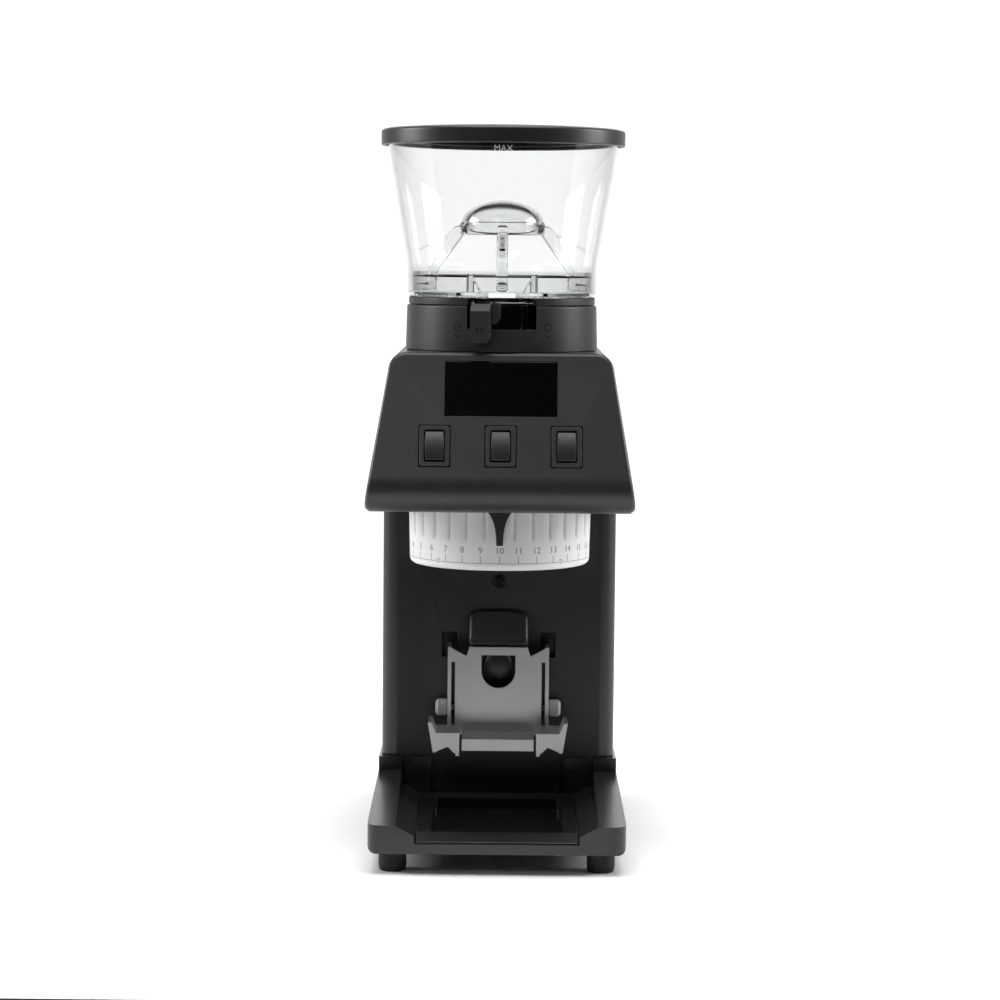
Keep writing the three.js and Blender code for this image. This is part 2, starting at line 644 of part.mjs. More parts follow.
// A pan-head screw that goes in along +Y or -Y: the head's outer face is at y.
function screw(x, y, z, inward) {
  const [neck, tip] = [y + inward * SCREW_HEAD_THICK, y + inward * SCREW_LENGTH];
  return turnedAlongY([
    [0, y], [SCREW_HEAD_RADIUS, y], [SCREW_HEAD_RADIUS, neck], [SCREW_RADIUS, neck], [SCREW_RADIUS, tip],
    [0, tip],
  ], x, z, 16);
}

function rearCover() {
  const plate = prism('y', roundedRectangle(
    0, (COVER_BOTTOM + COVER_TOP) / 2, 2 * COVER_HALF_WIDTH, COVER_TOP - COVER_BOTTOM, 4,
  ), COVER_BACK - COVER_THICK, COVER_BACK);
  const front = COVER_BACK - 2 * COVER_THICK;
  const port = (x, width, height) => box(
    x - width / 2 - CLEAR, x + width / 2 + CLEAR, front, COVER_BACK + 1,
    REAR_PORT_Z - height / 2 - CLEAR, REAR_PORT_Z + height / 2 + CLEAR,
  );
  const vents = Array.from({ length: VENT_COUNT }, (_, i) => midBox(
    VENT_WIDTH / 2, front, COVER_BACK + 1, VENT_BOTTOM + i * VENT_PITCH,
    VENT_BOTTOM + i * VENT_PITCH + VENT_HEIGHT,
  ));
  const seat = COVER_BACK - SCREW_HEAD_THICK - CLEAR;
  const screwHoles = coverScrewPlaces().map(([, x, z]) => turnedAlongY([
    [0, front], [SCREW_RADIUS + CLEAR, front], [SCREW_RADIUS + CLEAR, seat],
    [SCREW_HEAD_RADIUS + CLEAR, seat], [SCREW_HEAD_RADIUS + CLEAR, COVER_BACK + 1], [0, COVER_BACK + 1],
  ], x, z, 12));
  return cut(
    plate, port(INLET_X, INLET_WIDTH, INLET_HEIGHT), port(POWER_SWITCH_X, SWITCH_WIDTH, SWITCH_HEIGHT),
    ...vents, ...screwHoles,
  );
}

// A three-pin appliance inlet, with its pins standing in the socket.
function mainsInlet() {
  const face = COVER_BACK - CLEAR;
  const body = prism(
    'y', roundedRectangle(INLET_X, REAR_PORT_Z, INLET_WIDTH, INLET_HEIGHT, 2), face - INLET_DEPTH, face,
  );
  const [w, h] = [SOCKET_WIDTH / 2, SOCKET_HEIGHT / 2];
  const socket = prism('y', [
    [INLET_X - w, REAR_PORT_Z - h], [INLET_X + w, REAR_PORT_Z - h], [INLET_X + w, REAR_PORT_Z + h / 3],
    [INLET_X + w * 0.6, REAR_PORT_Z + h], [INLET_X - w * 0.6, REAR_PORT_Z + h],
    [INLET_X - w, REAR_PORT_Z + h / 3],
  ], face - SOCKET_DEPTH, face + 1);
  const pins = [-1, 0, 1].map((i) => {
    const z = REAR_PORT_Z + (i === 0 ? 2 : -2);
    return box(
      INLET_X + i * PIN_PITCH - 1, INLET_X + i * PIN_PITCH + 1, face - SOCKET_DEPTH - 1, face - 3, z - 2,
      z + 2,
    );
  });
  return joined(cut(body, socket), ...pins);
}

// ---------- Switches, drawn on a face: x right, y up, z out of the face ----------

function switchBezel() {
  const flange = prism('z', roundedRectangle(0, 0, SWITCH_WIDTH, SWITCH_HEIGHT, 1.5), -PANEL_THICK, 0.5);
  const body = box(
    -SWITCH_WIDTH / 2 + 1, SWITCH_WIDTH / 2 - 1, -SWITCH_HEIGHT / 2 + 1, SWITCH_HEIGHT / 2 - 1,
    -SWITCH_DEPTH, -PANEL_THICK,
  );
  const halfWidth = PADDLE_WIDTH / 2 + CLEAR;
  const halfHeight = PADDLE_LENGTH / 2 + PADDLE_PLAY;
  const pocket = box(-halfWidth, halfWidth, -halfHeight, halfHeight, -SWITCH_POCKET_DEPTH, 1);
  const reach = PADDLE_WIDTH / 2 + 1.5;
  const pinHole = turnedAlongX(
    [[0, -reach], [PADDLE_PIN_RADIUS + CLEAR, -reach], [PADDLE_PIN_RADIUS + CLEAR, reach], [0, reach]],
    0, -PADDLE_PIVOT_DEPTH, 16,
  );
  return cut(joined(flange, body), pocket, pinHole);
}

function switchPaddle(tilt) {
  const half = PADDLE_LENGTH / 2;
  const crown = Array.from({ length: 9 }, (_, k) => {
    const y = half - (2 * half * k) / 8;
    return [y, 2.1 - 1.5 * (y / half) ** 2];
  });
  const side = [[-half + 1.5, -6], [half - 1.5, -6], ...crown];
  const paddle = prism('x', side, -PADDLE_WIDTH / 2, PADDLE_WIDTH / 2);
  const reach = PADDLE_WIDTH / 2 + 1.2;
  const pin = turnedAlongX(
    [[0, -reach], [PADDLE_PIN_RADIUS, -reach], [PADDLE_PIN_RADIUS, reach], [0, reach]], 0,
    -PADDLE_PIVOT_DEPTH, 16,
  );
  const pivot = new THREE.Matrix4().makeTranslation(0, 0, -PADDLE_PIVOT_DEPTH);
  const swing = pivot.clone().multiply(
    new THREE.Matrix4().makeRotationX(tilt),
  ).multiply(pivot.clone().invert());
  return placed(joined(paddle, pin), swing);
}

// The head's front face: its foot is at the origin, y runs up the face and z out of it.
function onFace(x, up) {
  const upFace = new THREE.Vector3(0, Math.sin(FACE_TILT), Math.cos(FACE_TILT));
  const outOfFace = new THREE.Vector3(0, -Math.cos(FACE_TILT), Math.sin(FACE_TILT));
  const matrix = new THREE.Matrix4().makeBasis(X, upFace, outOfFace);
  return matrix.setPosition(x, FACE_FOOT_Y + up * upFace.y, FACE_FOOT_Z + up * upFace.z);
}

// The rear cover's outer face, at the height of the mains switch.
function onBack(x) {
  return new THREE.Matrix4().makeBasis(X.clone().negate(), Z, Y).setPosition(
    x, COVER_BACK - POWER_SWITCH_RECESS, REAR_PORT_Z,
  );
}

// ---------- Head ----------

function faceY(z) {
  return FACE_FOOT_Y + (z - FACE_FOOT_Z) * Math.tan(FACE_TILT);
}

// The head's front line in y and z, from the top to the underside, at a depth below its surface.
function frontLine(depth) {
  const steps = 8;
  const [first, last] = [Math.PI - FACE_TILT, 1.5 * Math.PI];
  const curve = Array.from({ length: steps + 1 }, (_, k) => {
    const angle = first + ((last - first) * k) / steps;
    const radius = CURVE_RADIUS - depth;
    return [CURVE_Y + radius * Math.cos(angle), CURVE_Z + radius * Math.sin(angle)];
  });
  return [[faceY(HEAD_TOP) + depth / Math.cos(FACE_TILT), HEAD_TOP], ...curve];
}

// The head seen from the front, shrunk all round by an inset.
function headElevation(inset) {
  const slope = (HEAD_BOTTOM_WIDTH - HEAD_TOP_WIDTH) / 2 / (HEAD_TOP - HEAD_BOTTOM);
  const side = inset / Math.cos(Math.atan(slope));
  const low = HEAD_BOTTOM_WIDTH / 2 - slope * inset - side;
  const high = HEAD_TOP_WIDTH / 2 + slope * inset - side;
  const [bottomRadius, topRadius] = [3.5 - inset / 2, 9 - inset / 2];
  return rounded([
    [-low, HEAD_BOTTOM + inset, bottomRadius], [low, HEAD_BOTTOM + inset, bottomRadius],
    [high, HEAD_TOP - inset, topRadius], [-high, HEAD_TOP - inset, topRadius],
  ]);
}

function headShell() {
  const side = [...frontLine(0), [SHELL_BACK, HEAD_BOTTOM]];
  const corner = rounded(
    [[SHELL_BACK, HEAD_BOTTOM], [SHELL_BACK, HEAD_TOP, HEAD_BACK_RADIUS], [0, HEAD_TOP]],
  );
  const outside = prism('x', [...side, ...corner.slice(1, -1)], -HEAD_BOTTOM_WIDTH, HEAD_BOTTOM_WIDTH)
    .intersect(prism('y', headElevation(0), 2 * BASE_FRONT, 2 * SHELL_BACK));
  const room = rounded([
    [2 * FACE_FOOT_Y, HEAD_BOTTOM + WALL], [SHELL_BACK - WALL, HEAD_BOTTOM + WALL],
    [SHELL_BACK - WALL, HEAD_TOP - WALL, HEAD_BACK_RADIUS - WALL], [2 * FACE_FOOT_Y, HEAD_TOP - WALL],
  ]);
  const inside = prism('x', room, -HEAD_BOTTOM_WIDTH, HEAD_BOTTOM_WIDTH)
    .intersect(prism('y', headElevation(WALL), 2 * BASE_FRONT, 2 * SHELL_BACK));
  const behindPanel = frontLine(PANEL_THICK + CLEAR).reverse();
  const frontCut = prism('x', [
    [2 * FACE_FOOT_Y, HEAD_TOP + 1], [2 * FACE_FOOT_Y, HEAD_BOTTOM - 1], [CURVE_Y + CLEAR, HEAD_BOTTOM - 1],
    [CURVE_Y + CLEAR, behindPanel[0][1]], ...behindPanel, [behindPanel.at(-1)[0], HEAD_TOP + 1],
  ], -HEAD_BOTTOM_WIDTH, HEAD_BOTTOM_WIDTH);
  const ringHole = disc(NICHE_RADIUS, HEAD_BOTTOM - 1, HEAD_BOTTOM + 2 * WALL, ROUND);
  const columnHole = prism('z', columnOutline(WALL), HEAD_BOTTOM - 1, HEAD_BOTTOM + 2 * WALL);
  const funnelHole = disc(FUNNEL_RIM_RADIUS + CLEAR, HEAD_TOP - 2 * WALL, HEAD_TOP + 1, ROUND);
  return cut(outside, inside, frontCut, ringHole, columnHole, funnelHole);
}

function controlPanel() {
  const skin = prism(
    'x', [...frontLine(0), ...frontLine(PANEL_THICK).reverse()], -HEAD_BOTTOM_WIDTH, HEAD_BOTTOM_WIDTH,
  )
    .intersect(prism('y', headElevation(0), 2 * BASE_FRONT, 0));
  const hole = (x, up, width, height, radius) => placed(
    prism(
      'z', roundedRectangle(0, 0, width + 2 * CLEAR, height + 2 * CLEAR, radius), -2 * PANEL_THICK,
      PANEL_THICK,
    ),
    onFace(x, up),
  );
  const switchHoles = [-1, 0, 1].map(
    (i) => hole(i * SWITCH_PITCH, SWITCH_UP, SWITCH_WIDTH, SWITCH_HEIGHT, 1.7),
  );
  return cut(skin, hole(0, WINDOW_UP, WINDOW_WIDTH, WINDOW_HEIGHT, 0.8), ...switchHoles);
}

function displayWindow() {
  const glass = prism(
    'z', roundedRectangle(0, 0, WINDOW_WIDTH, WINDOW_HEIGHT, 0.6), -0.1 - WINDOW_THICK, -0.1,
  );
  return placed(glass, onFace(0, WINDOW_UP));
}

function displayBoard() {
  const back = -PANEL_THICK - CLEAR;
  const [w, h] = [WINDOW_WIDTH / 2 + 2, WINDOW_HEIGHT / 2];
  const cell = box(-w, w, -h, h, back - 4, back);
  const board = box(-w - 8, w + 8, -h - 1, h + 1, back - 4 - BOARD_THICK, back - 4);
  return placed(joined(cell, board), onFace(0, WINDOW_UP));
}

// ---------- Neck, hopper, guard and lid ----------

// The opening in the front of the neck and base ring that the shutter lever moves in.
function notch(z0, z1) {
  return sector(NECK_BORE - 5, NECK_RADIUS + 5, 0, NOTCH_HALF_ANGLE, z0, z1);
}

function neckCollar() {
  const ring = collar([
    [NECK_BORE, HEAD_TOP + CLEAR], [NECK_FOOT_RADIUS, HEAD_TOP + CLEAR], [NECK_RADIUS + 0.1, NECK_TOP - 0.8],
    [NECK_RADIUS - 0.7, NECK_TOP], [NECK_BORE, NECK_TOP],
  ]);
  return cut(ring, notch(NOTCH_FLOOR, NECK_TOP + 1));
}

function hopperBaseRing() {
  const bottom = NECK_TOP + CLEAR;
  const ring = collar([
    [SPIGOT_RADIUS + CLEAR, bottom], [BASE_RING_RADIUS, bottom], [BASE_RING_RADIUS, BASE_RING_TOP],
    [SPIGOT_RADIUS + CLEAR, BASE_RING_TOP],
  ]);
  return cut(ring, notch(bottom - 1, BASE_RING_TOP + 1));
}

// The flare of the hopper wall, from its waist to its mouth.
function hopperFlare(inset) {
  return [[HOPPER_WAIST_RADIUS - inset, HOPPER_WAIST_TOP], [HOPPER_MOUTH_RADIUS - inset, HOPPER_TOP]];
}

function feedHoles(turn, z0, z1) {
  const pitch = (2 * Math.PI) / FEED_COUNT;
  return Array.from({ length: FEED_COUNT }, (_, i) => sector(
    FEED_INNER, FEED_OUTER, (i + 0.5) * pitch + turn, FEED_HALF_ANGLE, z0, z1,
  ));
}

function hopper() {
  const floorTop = HOPPER_FLOOR_Z + HOPPER_FLOOR_THICK;
  const bowl = turnedProfile([
    [0, HOPPER_FLOOR_Z], [SPIGOT_RADIUS - HOPPER_WALL, HOPPER_FLOOR_Z],
    [SPIGOT_RADIUS - HOPPER_WALL, SPIGOT_BOTTOM],
    [SPIGOT_RADIUS, SPIGOT_BOTTOM], [SPIGOT_RADIUS, HOPPER_FLOOR_Z], [HOPPER_WAIST_RADIUS, HOPPER_FLOOR_Z],
    ...hopperFlare(0), ...hopperFlare(HOPPER_WALL).reverse(),
    [HOPPER_WAIST_RADIUS - HOPPER_WALL, floorTop], [0, floorTop],
  ]);
  const armSlot = sector(
    SPIGOT_RADIUS - 2 * HOPPER_WALL, SPIGOT_RADIUS + 1, 0, NOTCH_HALF_ANGLE - 2 * DEG, SHUTTER_BOTTOM - 1,
    HOPPER_FLOOR_Z,
  );
  return cut(bowl, armSlot, ...feedHoles(0, HOPPER_FLOOR_Z - 1, floorTop + 1));
}

// The shutter turns under the hopper floor; its arm comes out through the notch.
function shutterPlate() {
  const radius = SPIGOT_RADIUS - HOPPER_WALL - 0.5;
  const plate = disc(radius, SHUTTER_BOTTOM, SHUTTER_TOP, ROUND);
  const arm = box(
    -ARM_WIDTH / 2, ARM_WIDTH / 2, -NECK_RADIUS - 0.5, -radius + 3, SHUTTER_BOTTOM, SHUTTER_TOP,
  );
  const closed = turned(arm, -SHUTTER_TURN / 2);
  return cut(joined(plate, closed), ...feedHoles(-SHUTTER_TURN, SHUTTER_BOTTOM - 1, SHUTTER_TOP + 1));
}

function shutterLever() {
  const front = -NECK_FOOT_RADIUS - 0.6;
  const top = SHUTTER_BOTTOM - CLEAR;
  const side = rounded([
    [front - LEVER_DEPTH, LEVER_BOTTOM, 1.2], [front, LEVER_BOTTOM, 0.5], [front, top],
    [front - LEVER_DEPTH + 1, top, 0.5],
    [front - LEVER_DEPTH, top - 3, 1],
  ]);
  const tab = prism('x', side, -LEVER_WIDTH / 2, LEVER_WIDTH / 2);
  const root = midBox(ARM_WIDTH / 2 + 0.5, front - 1, -NECK_BORE - 1, top - 4, top);
  return turned(joined(tab, root), -SHUTTER_TURN / 2);
}

// A dome on four legs keeps the weight of the beans off the shutter.
function beanGuard() {
  const floorTop = HOPPER_FLOOR_Z + HOPPER_FLOOR_THICK + CLEAR;
  const steps = 4;
  const dome = (inset) => Array.from({ length: steps + 1 }, (_, k) => {
    const angle = (k / steps) * (Math.PI / 2);
    const height = GUARD_DOME_TOP - GUARD_DOME_BASE - inset;
    return [(GUARD_RADIUS - inset) * Math.cos(angle), GUARD_DOME_BASE + height * Math.sin(angle)];
  });
  const cap = turnedProfile([
    ...dome(GUARD_WALL).reverse().map(([r, z], k) => [k === 0 ? 0 : r, z]),
    [GUARD_RADIUS - GUARD_WALL, GUARD_RIM_BOTTOM], [GUARD_RADIUS, GUARD_RIM_BOTTOM],
    ...dome(0).map(([r, z], k) => [k === steps ? 0 : r, z]),
  ], INNER);
  const ringOuter = HOPPER_WAIST_RADIUS - HOPPER_WALL - 0.5;
  const ring = collar([
    [ringOuter - GUARD_WALL, floorTop], [ringOuter, floorTop], [ringOuter, GUARD_RING_TOP],
    [ringOuter - GUARD_WALL, GUARD_RING_TOP],
  ], INNER);
  const leg = prism('x', [
    [GUARD_RADIUS - 0.6, GUARD_RIM_BOTTOM], [GUARD_RADIUS - 0.6, GUARD_DOME_BASE],
    [GUARD_RADIUS + 5, GUARD_RIM_BOTTOM + 2],
    [GUARD_RADIUS + 8, GUARD_RIM_BOTTOM - 2.5], [GUARD_RADIUS + 21, GUARD_RIM_BOTTOM - 8],
    [GUARD_RADIUS + 12, GUARD_RIM_BOTTOM - 10], [GUARD_RADIUS + 15, GUARD_RING_TOP + 1],
    [ringOuter - 0.6, GUARD_RING_TOP - 0.5], [ringOuter - 0.6, floorTop + 1],
    [GUARD_RADIUS + 9, floorTop + 4],
  ], -GUARD_WALL * 0.7, GUARD_WALL * 0.7);
  return joined(cap, ring, ...[0, 1, 2, 3].map((i) => turned(leg, (i * Math.PI) / 2)));
}

function lid() {
  const under = LID_TOP - LID_WALL;
  return turnedProfile([
    [0, under - 1.6], [LID_PLUG_RADIUS - LID_WALL, under - 1.6],
    [LID_PLUG_RADIUS - LID_WALL, LID_PLUG_BOTTOM], [LID_PLUG_RADIUS, LID_PLUG_BOTTOM],
    [LID_PLUG_RADIUS, under - 2.2], [LID_RADIUS - LID_WALL, under - 2.6],
    [LID_RADIUS - LID_WALL, LID_SKIRT_BOTTOM],
    [LID_RADIUS - 0.3, LID_SKIRT_BOTTOM], [LID_RADIUS, LID_SKIRT_BOTTOM + 0.5], [LID_RADIUS, LID_TOP - 4],
    [LID_RADIUS - 0.6, LID_TOP - 2.6], [LID_RADIUS - 2.2, LID_TOP - 1.8], [LID_RADIUS - 12, LID_TOP - 0.8],
    [LID_RADIUS / 2, LID_TOP - 0.2], [0, LID_TOP],
  ]);
}

function lidSeal() {
  const bottom = HOPPER_TOP + CLEAR;
  const inner = LID_PLUG_RADIUS + CLEAR;
  const outer = LID_RADIUS - LID_WALL - CLEAR;
  return collar(
    [[inner, bottom], [outer, bottom], [outer, bottom + SEAL_THICK], [inner, bottom + SEAL_THICK]],
  );
}

// ---------- Grinding chamber ----------

function adjustingRing() {
  return collar([
    [RING_BORE, RING_BOTTOM], [RING_FOOT_RADIUS - 3, RING_BOTTOM],
    [RING_FOOT_RADIUS - 0.9, RING_BOTTOM + 1.2],
    [RING_FOOT_RADIUS, RING_BOTTOM + 3.5], [RING_RADIUS, RING_TOP], [RING_BORE, RING_TOP],
  ]);
}

function burrBarrel() {
  const barrel = collar([
    [CHAMBER_RADIUS, BARREL_BOTTOM], [BARREL_RADIUS, BARREL_BOTTOM], [BARREL_RADIUS, CHASSIS_TOP + CLEAR],
    [BARREL_FLANGE_RADIUS, CHASSIS_TOP + CLEAR], [BARREL_FLANGE_RADIUS, CHASSIS_TOP + CLEAR + 3],
    [BEARING_RADIUS + CLEAR + 3.5, CHASSIS_TOP + CLEAR + 3],
    [BEARING_RADIUS + CLEAR + 3.5, BEARING_SEAT + BEARING_THICK + 0.8],
    [BEARING_RADIUS + CLEAR, BEARING_SEAT + BEARING_THICK + 0.8], [BEARING_RADIUS + CLEAR, BEARING_SEAT],
    [SPINDLE_RADIUS + 2, BEARING_SEAT], [SPINDLE_RADIUS + 2, BEARING_SEAT - 3.5],
    [CHAMBER_RADIUS, BEARING_SEAT - 3.5],
  ], INNER);
  return cut(barrel, carrierKeys(CLEAR));
}

// Two keys stop the lower burr's carrier turning in the barrel while it is raised and lowered.
function carrierKeys(grow) {
  const [inner, outer] = [CHAMBER_RADIUS + 0.5, BARREL_RADIUS - 0.5];
  const top = BARREL_BOTTOM + 4 + 3 * grow;
  const bottom = BARREL_BOTTOM - 3;
  const key = box(inner - grow * 5, outer + grow * 5, -3 - grow, 3 + grow, bottom, top);
  return joined(key, mirrored(key));
}

function burrCarrier() {
  const top = BARREL_BOTTOM - 1.4;
  const floor = RING_BOTTOM + 2.8;
  const cup = turnedProfile([
    [0, floor], [RING_BORE - CLEAR, floor], [RING_BORE - CLEAR, top], [CHAMBER_RADIUS, top],
    [CHAMBER_RADIUS, floor + 2.2], [0, floor + 2.2],
  ], INNER);
  const seat = turnedProfile([
    [0, BURR_SEAT - CLEAR - 3], [BURR_RADIUS, BURR_SEAT - CLEAR - 3], [BURR_RADIUS, BURR_SEAT - CLEAR],
    [BURR_BORE - CLEAR, BURR_SEAT - CLEAR], [BURR_BORE - CLEAR, BURR_SEAT + 1.5], [4, BURR_FACE - 1],
    [0, BURR_FACE - 1],
  ], INNER);
  const rib = box(BURR_RADIUS - 2, CHAMBER_RADIUS + 1, -1.5, 1.5, floor + 1, BURR_SEAT - CLEAR - 1);
  const ribs = [1, 3, 5].map((i) => turned(rib, (i * Math.PI) / 3 - Math.PI / 6));
  const outlet = disc(OUTLET_RADIUS, floor - 1, floor + 2.5, SMALL, OUTLET_Y);
  return joined(cut(cup, outlet), seat, ...ribs, carrierKeys(0));
}

function burr(bottom) {
  return collar([
    [BURR_BORE, bottom], [BURR_RADIUS, bottom], [BURR_RADIUS, bottom + BURR_THICK],
    [BURR_BORE, bottom + BURR_THICK],
  ], INNER);
}

function spindle() {
  const top = SPINDLE_FLANGE_Z + SPINDLE_FLANGE_THICK;
  const body = collar([
    [SPINDLE_BORE, SPINDLE_FLANGE_Z], [SPINDLE_FLANGE_RADIUS, SPINDLE_FLANGE_Z],
    [SPINDLE_FLANGE_RADIUS, top - 1],
    [SPINDLE_FLANGE_RADIUS - 1, top], [SPINDLE_RADIUS, top], [SPINDLE_RADIUS, SPINDLE_TOP],
    [SPINDLE_BORE, SPINDLE_TOP],
  ], INNER);
  const vane = box(SPINDLE_FLANGE_RADIUS - 3, CHAMBER_RADIUS - 1, -1.5, 1.5, BARREL_BOTTOM + 1, top - 1);
  const vanes = [0, 1, 2].map((i) => turned(vane, (i * 2 * Math.PI) / 3));
  return joined(body, ...vanes);
}

function spindleBearing() {
  const [inner, bottom] = [SPINDLE_RADIUS + CLEAR, BEARING_SEAT + CLEAR];
  return collar([
    [inner, bottom], [BEARING_RADIUS, bottom], [BEARING_RADIUS, bottom + BEARING_THICK],
    [inner, bottom + BEARING_THICK],
  ], INNER);
}

function grindPointer() {
  const [top, half] = [HEAD_BOTTOM - CLEAR, POINTER_WIDTH / 2];
  const edge = Array.from({ length: 6 }, (_, k) => {
    const t = k / 5;
    return [1.25 + (half - 1.25) * (1 - t) ** 2.2, top - (POINTER_LENGTH - 1) * t];
  });
  const left = edge.map(([x, z]) => [-x, z]);
  const face = -RING_RADIUS - 1.1;
  return prism('y', [...left, [0, top - POINTER_LENGTH], ...edge.reverse()], face - POINTER_THICK, face);
}

// ---------- Drive ----------

function motor() {
  return turnedProfile([
    [0, MOTOR_BOTTOM], [MOTOR_RADIUS - 5, MOTOR_BOTTOM], [MOTOR_RADIUS, MOTOR_BOTTOM + 5],
    [MOTOR_RADIUS, MOTOR_TOP - 4],
    [MOTOR_RADIUS - 3, MOTOR_TOP], [12, MOTOR_TOP], [12, CHASSIS_BOTTOM + 1],
    [SHAFT_RADIUS + CLEAR, CHASSIS_BOTTOM + 1],
    [SHAFT_RADIUS + CLEAR, MOTOR_TOP - 6], [0, MOTOR_TOP - 6],
  ], INNER, MOTOR_Y);
}

function motorShaft() {
  return disc(SHAFT_RADIUS, MOTOR_TOP - 6 + CLEAR, SPINDLE_TOP, 24, MOTOR_Y);
}

// A flanged pulley whose belt face sits inside the belt.
function pulley(bore, pitchRadius, y, segments) {
  const face = pitchRadius - BELT_THICK / 2 - CLEAR;
  const [low, high] = [BELT_BOTTOM - CLEAR, BELT_BOTTOM + BELT_WIDTH + CLEAR];
  return collar([
    [bore, low - 1], [face + 2, low - 1], [face + 2, low], [face, low], [face, high], [face + 2, high],
    [face + 2, high + 1], [bore, high + 1],
  ], segments, y);
}

// The belt runs round both pulleys, with straight runs between.
function beltLoop(offset) {
  const [large, small] = [DRIVEN_PITCH_RADIUS + offset, MOTOR_PITCH_RADIUS + offset];
  const lean = Math.asin((large - small) / MOTOR_Y);
  const arc = (radius, y, from, to, steps) => Array.from({ length: steps + 1 }, (_, k) => {
    const angle = from + ((to - from) * k) / steps;
    return [radius * Math.cos(angle), y + radius * Math.sin(angle)];
  });
  return [
    ...arc(large, 0, Math.PI - lean, 2 * Math.PI + lean, 32),
    ...arc(small, MOTOR_Y, lean, Math.PI - lean, 16),
  ];
}

function driveBelt() {
  const half = BELT_THICK / 2;
  const outside = prism('z', beltLoop(half), BELT_BOTTOM, BELT_BOTTOM + BELT_WIDTH);
  return cut(outside, prism('z', beltLoop(-half), BELT_BOTTOM - 1, BELT_BOTTOM + BELT_WIDTH + 1));
}

// A channel that carries the barrel and hangs the motor, inside the top of the column.
function chassis() {
  const half = COLUMN_WIDTH / 2 - WALL - CLEAR;
  const back = SHELL_BACK - WALL - 2;
  const plate = midBox(half, CHASSIS_FRONT, back, CHASSIS_BOTTOM, CHASSIS_TOP);
  const skirt = box(
    half - WALL, half, COLUMN_FRONT + COLUMN_CORNER + 15, back - COLUMN_CORNER,
    CHASSIS_BOTTOM - CHASSIS_SKIRT, CHASSIS_TOP,
  );
  const barrelHole = disc(BARREL_RADIUS + CLEAR, CHASSIS_BOTTOM - 1, CHASSIS_TOP + 1, INNER);
  const bossHole = disc(12 + CLEAR, CHASSIS_BOTTOM - 1, CHASSIS_TOP + 1, SMALL, MOTOR_Y);
  return cut(joined(plate, skirt, mirrored(skirt)), barrelHole, bossHole);
}

function beanFunnel() {
  const rim = HEAD_TOP + CLEAR;
  const spout = SPINDLE_TOP + 0.8;
  return collar([
    [FUNNEL_RIM_RADIUS, rim + 2], [FUNNEL_RIM_RADIUS, HEAD_TOP - 1], [FUNNEL_RIM_RADIUS - 3, HEAD_TOP - 4],
    [FUNNEL_SPOUT_RADIUS, spout + 6], [FUNNEL_SPOUT_RADIUS, spout],
    [FUNNEL_SPOUT_RADIUS - FUNNEL_WALL, spout],
    [FUNNEL_SPOUT_RADIUS - FUNNEL_WALL, spout + 6.6], [FUNNEL_RIM_RADIUS - 3 - FUNNEL_WALL, HEAD_TOP - 3.2],
    [FUNNEL_RIM_RADIUS - FUNNEL_WALL, rim + 2],
  ], INNER);
}

function powerBoard() {
  const z = COLUMN_BOTTOM + 5;
  const board = midBox(48, 46, 112, z, z + BOARD_THICK);
  const transformer = box(-40, -12, 60, 92, z + 1, z + 24);
  const capacitor = placed(disc(9, z + 1, z + 30), new THREE.Matrix4().makeTranslation(8, 76, 0));
  const heatSink = box(26, 40, 56, 100, z + 1, z + 20);
  return joined(board, transformer, capacitor, heatSink);
}

// ---------- Front of the column ----------

function doseButton() {
  const flange = COLUMN_FRONT + WALL + CLEAR;
  return turnedAlongY([
    [0, BUTTON_FRONT], [BUTTON_RADIUS * 0.5, BUTTON_FRONT + 0.6], [BUTTON_RADIUS * 0.85, BUTTON_FRONT + 2.1],
    [BUTTON_RADIUS, BUTTON_FRONT + 4.2], [BUTTON_RADIUS, flange], [BUTTON_RADIUS + 1.4, flange],
    [BUTTON_RADIUS + 1.4, flange + 1.2], [0, flange + 1.2],
  ], 0, BUTTON_Z);
}

function buttonRing() {
  const back = COLUMN_FRONT - CLEAR;
  const inner = BUTTON_RADIUS + CLEAR;
  const profile = [
    [inner, back - 2], [BUTTON_RING_RADIUS - 0.6, back - 2], [BUTTON_RING_RADIUS, back - 1.4],
    [BUTTON_RING_RADIUS, back], [inner, back],
  ];
  return turnedAlongY([...profile, profile[0]], 0, BUTTON_Z);
}

function microswitch() {
  const front = COLUMN_FRONT + WALL + 2 * CLEAR + 1.2 + BUTTON_STROKE;
  const body = midBox(10, front + 1, front + 11, BUTTON_Z - 5, BUTTON_Z + 5);
  return joined(body, midBox(1.5, front, front + 2, BUTTON_Z - 1.5, BUTTON_Z + 1.5));
}

function buttonVisor() {
  const back = COLUMN_FRONT - CLEAR;
  const outline = (inset) => [
    [back + inset, VISOR_BOTTOM - inset], [back + inset, VISOR_TOP - inset],
    [back - 3 + inset, VISOR_TOP - inset],
    [back - VISOR_REACH + inset, VISOR_BOTTOM + 4], [back - VISOR_REACH + inset, VISOR_BOTTOM - inset],
  ];
  const front = (inset) => rounded([
    [-VISOR_HALF_WIDTH + inset, VISOR_BOTTOM - inset], [VISOR_HALF_WIDTH - inset, VISOR_BOTTOM - inset],
    [VISOR_HALF_WIDTH - inset, VISOR_TOP - inset, 3.5 - inset],
    [-VISOR_HALF_WIDTH + inset, VISOR_TOP - inset, 3.5 - inset],
  ]);
  const shape = (inset) => prism('x', outline(inset), -2 * VISOR_HALF_WIDTH, 2 * VISOR_HALF_WIDTH)
    .intersect(prism('y', front(inset), 0, 2 * COLUMN_FRONT));
  return cut(shape(0), shape(VISOR_WALL));
}

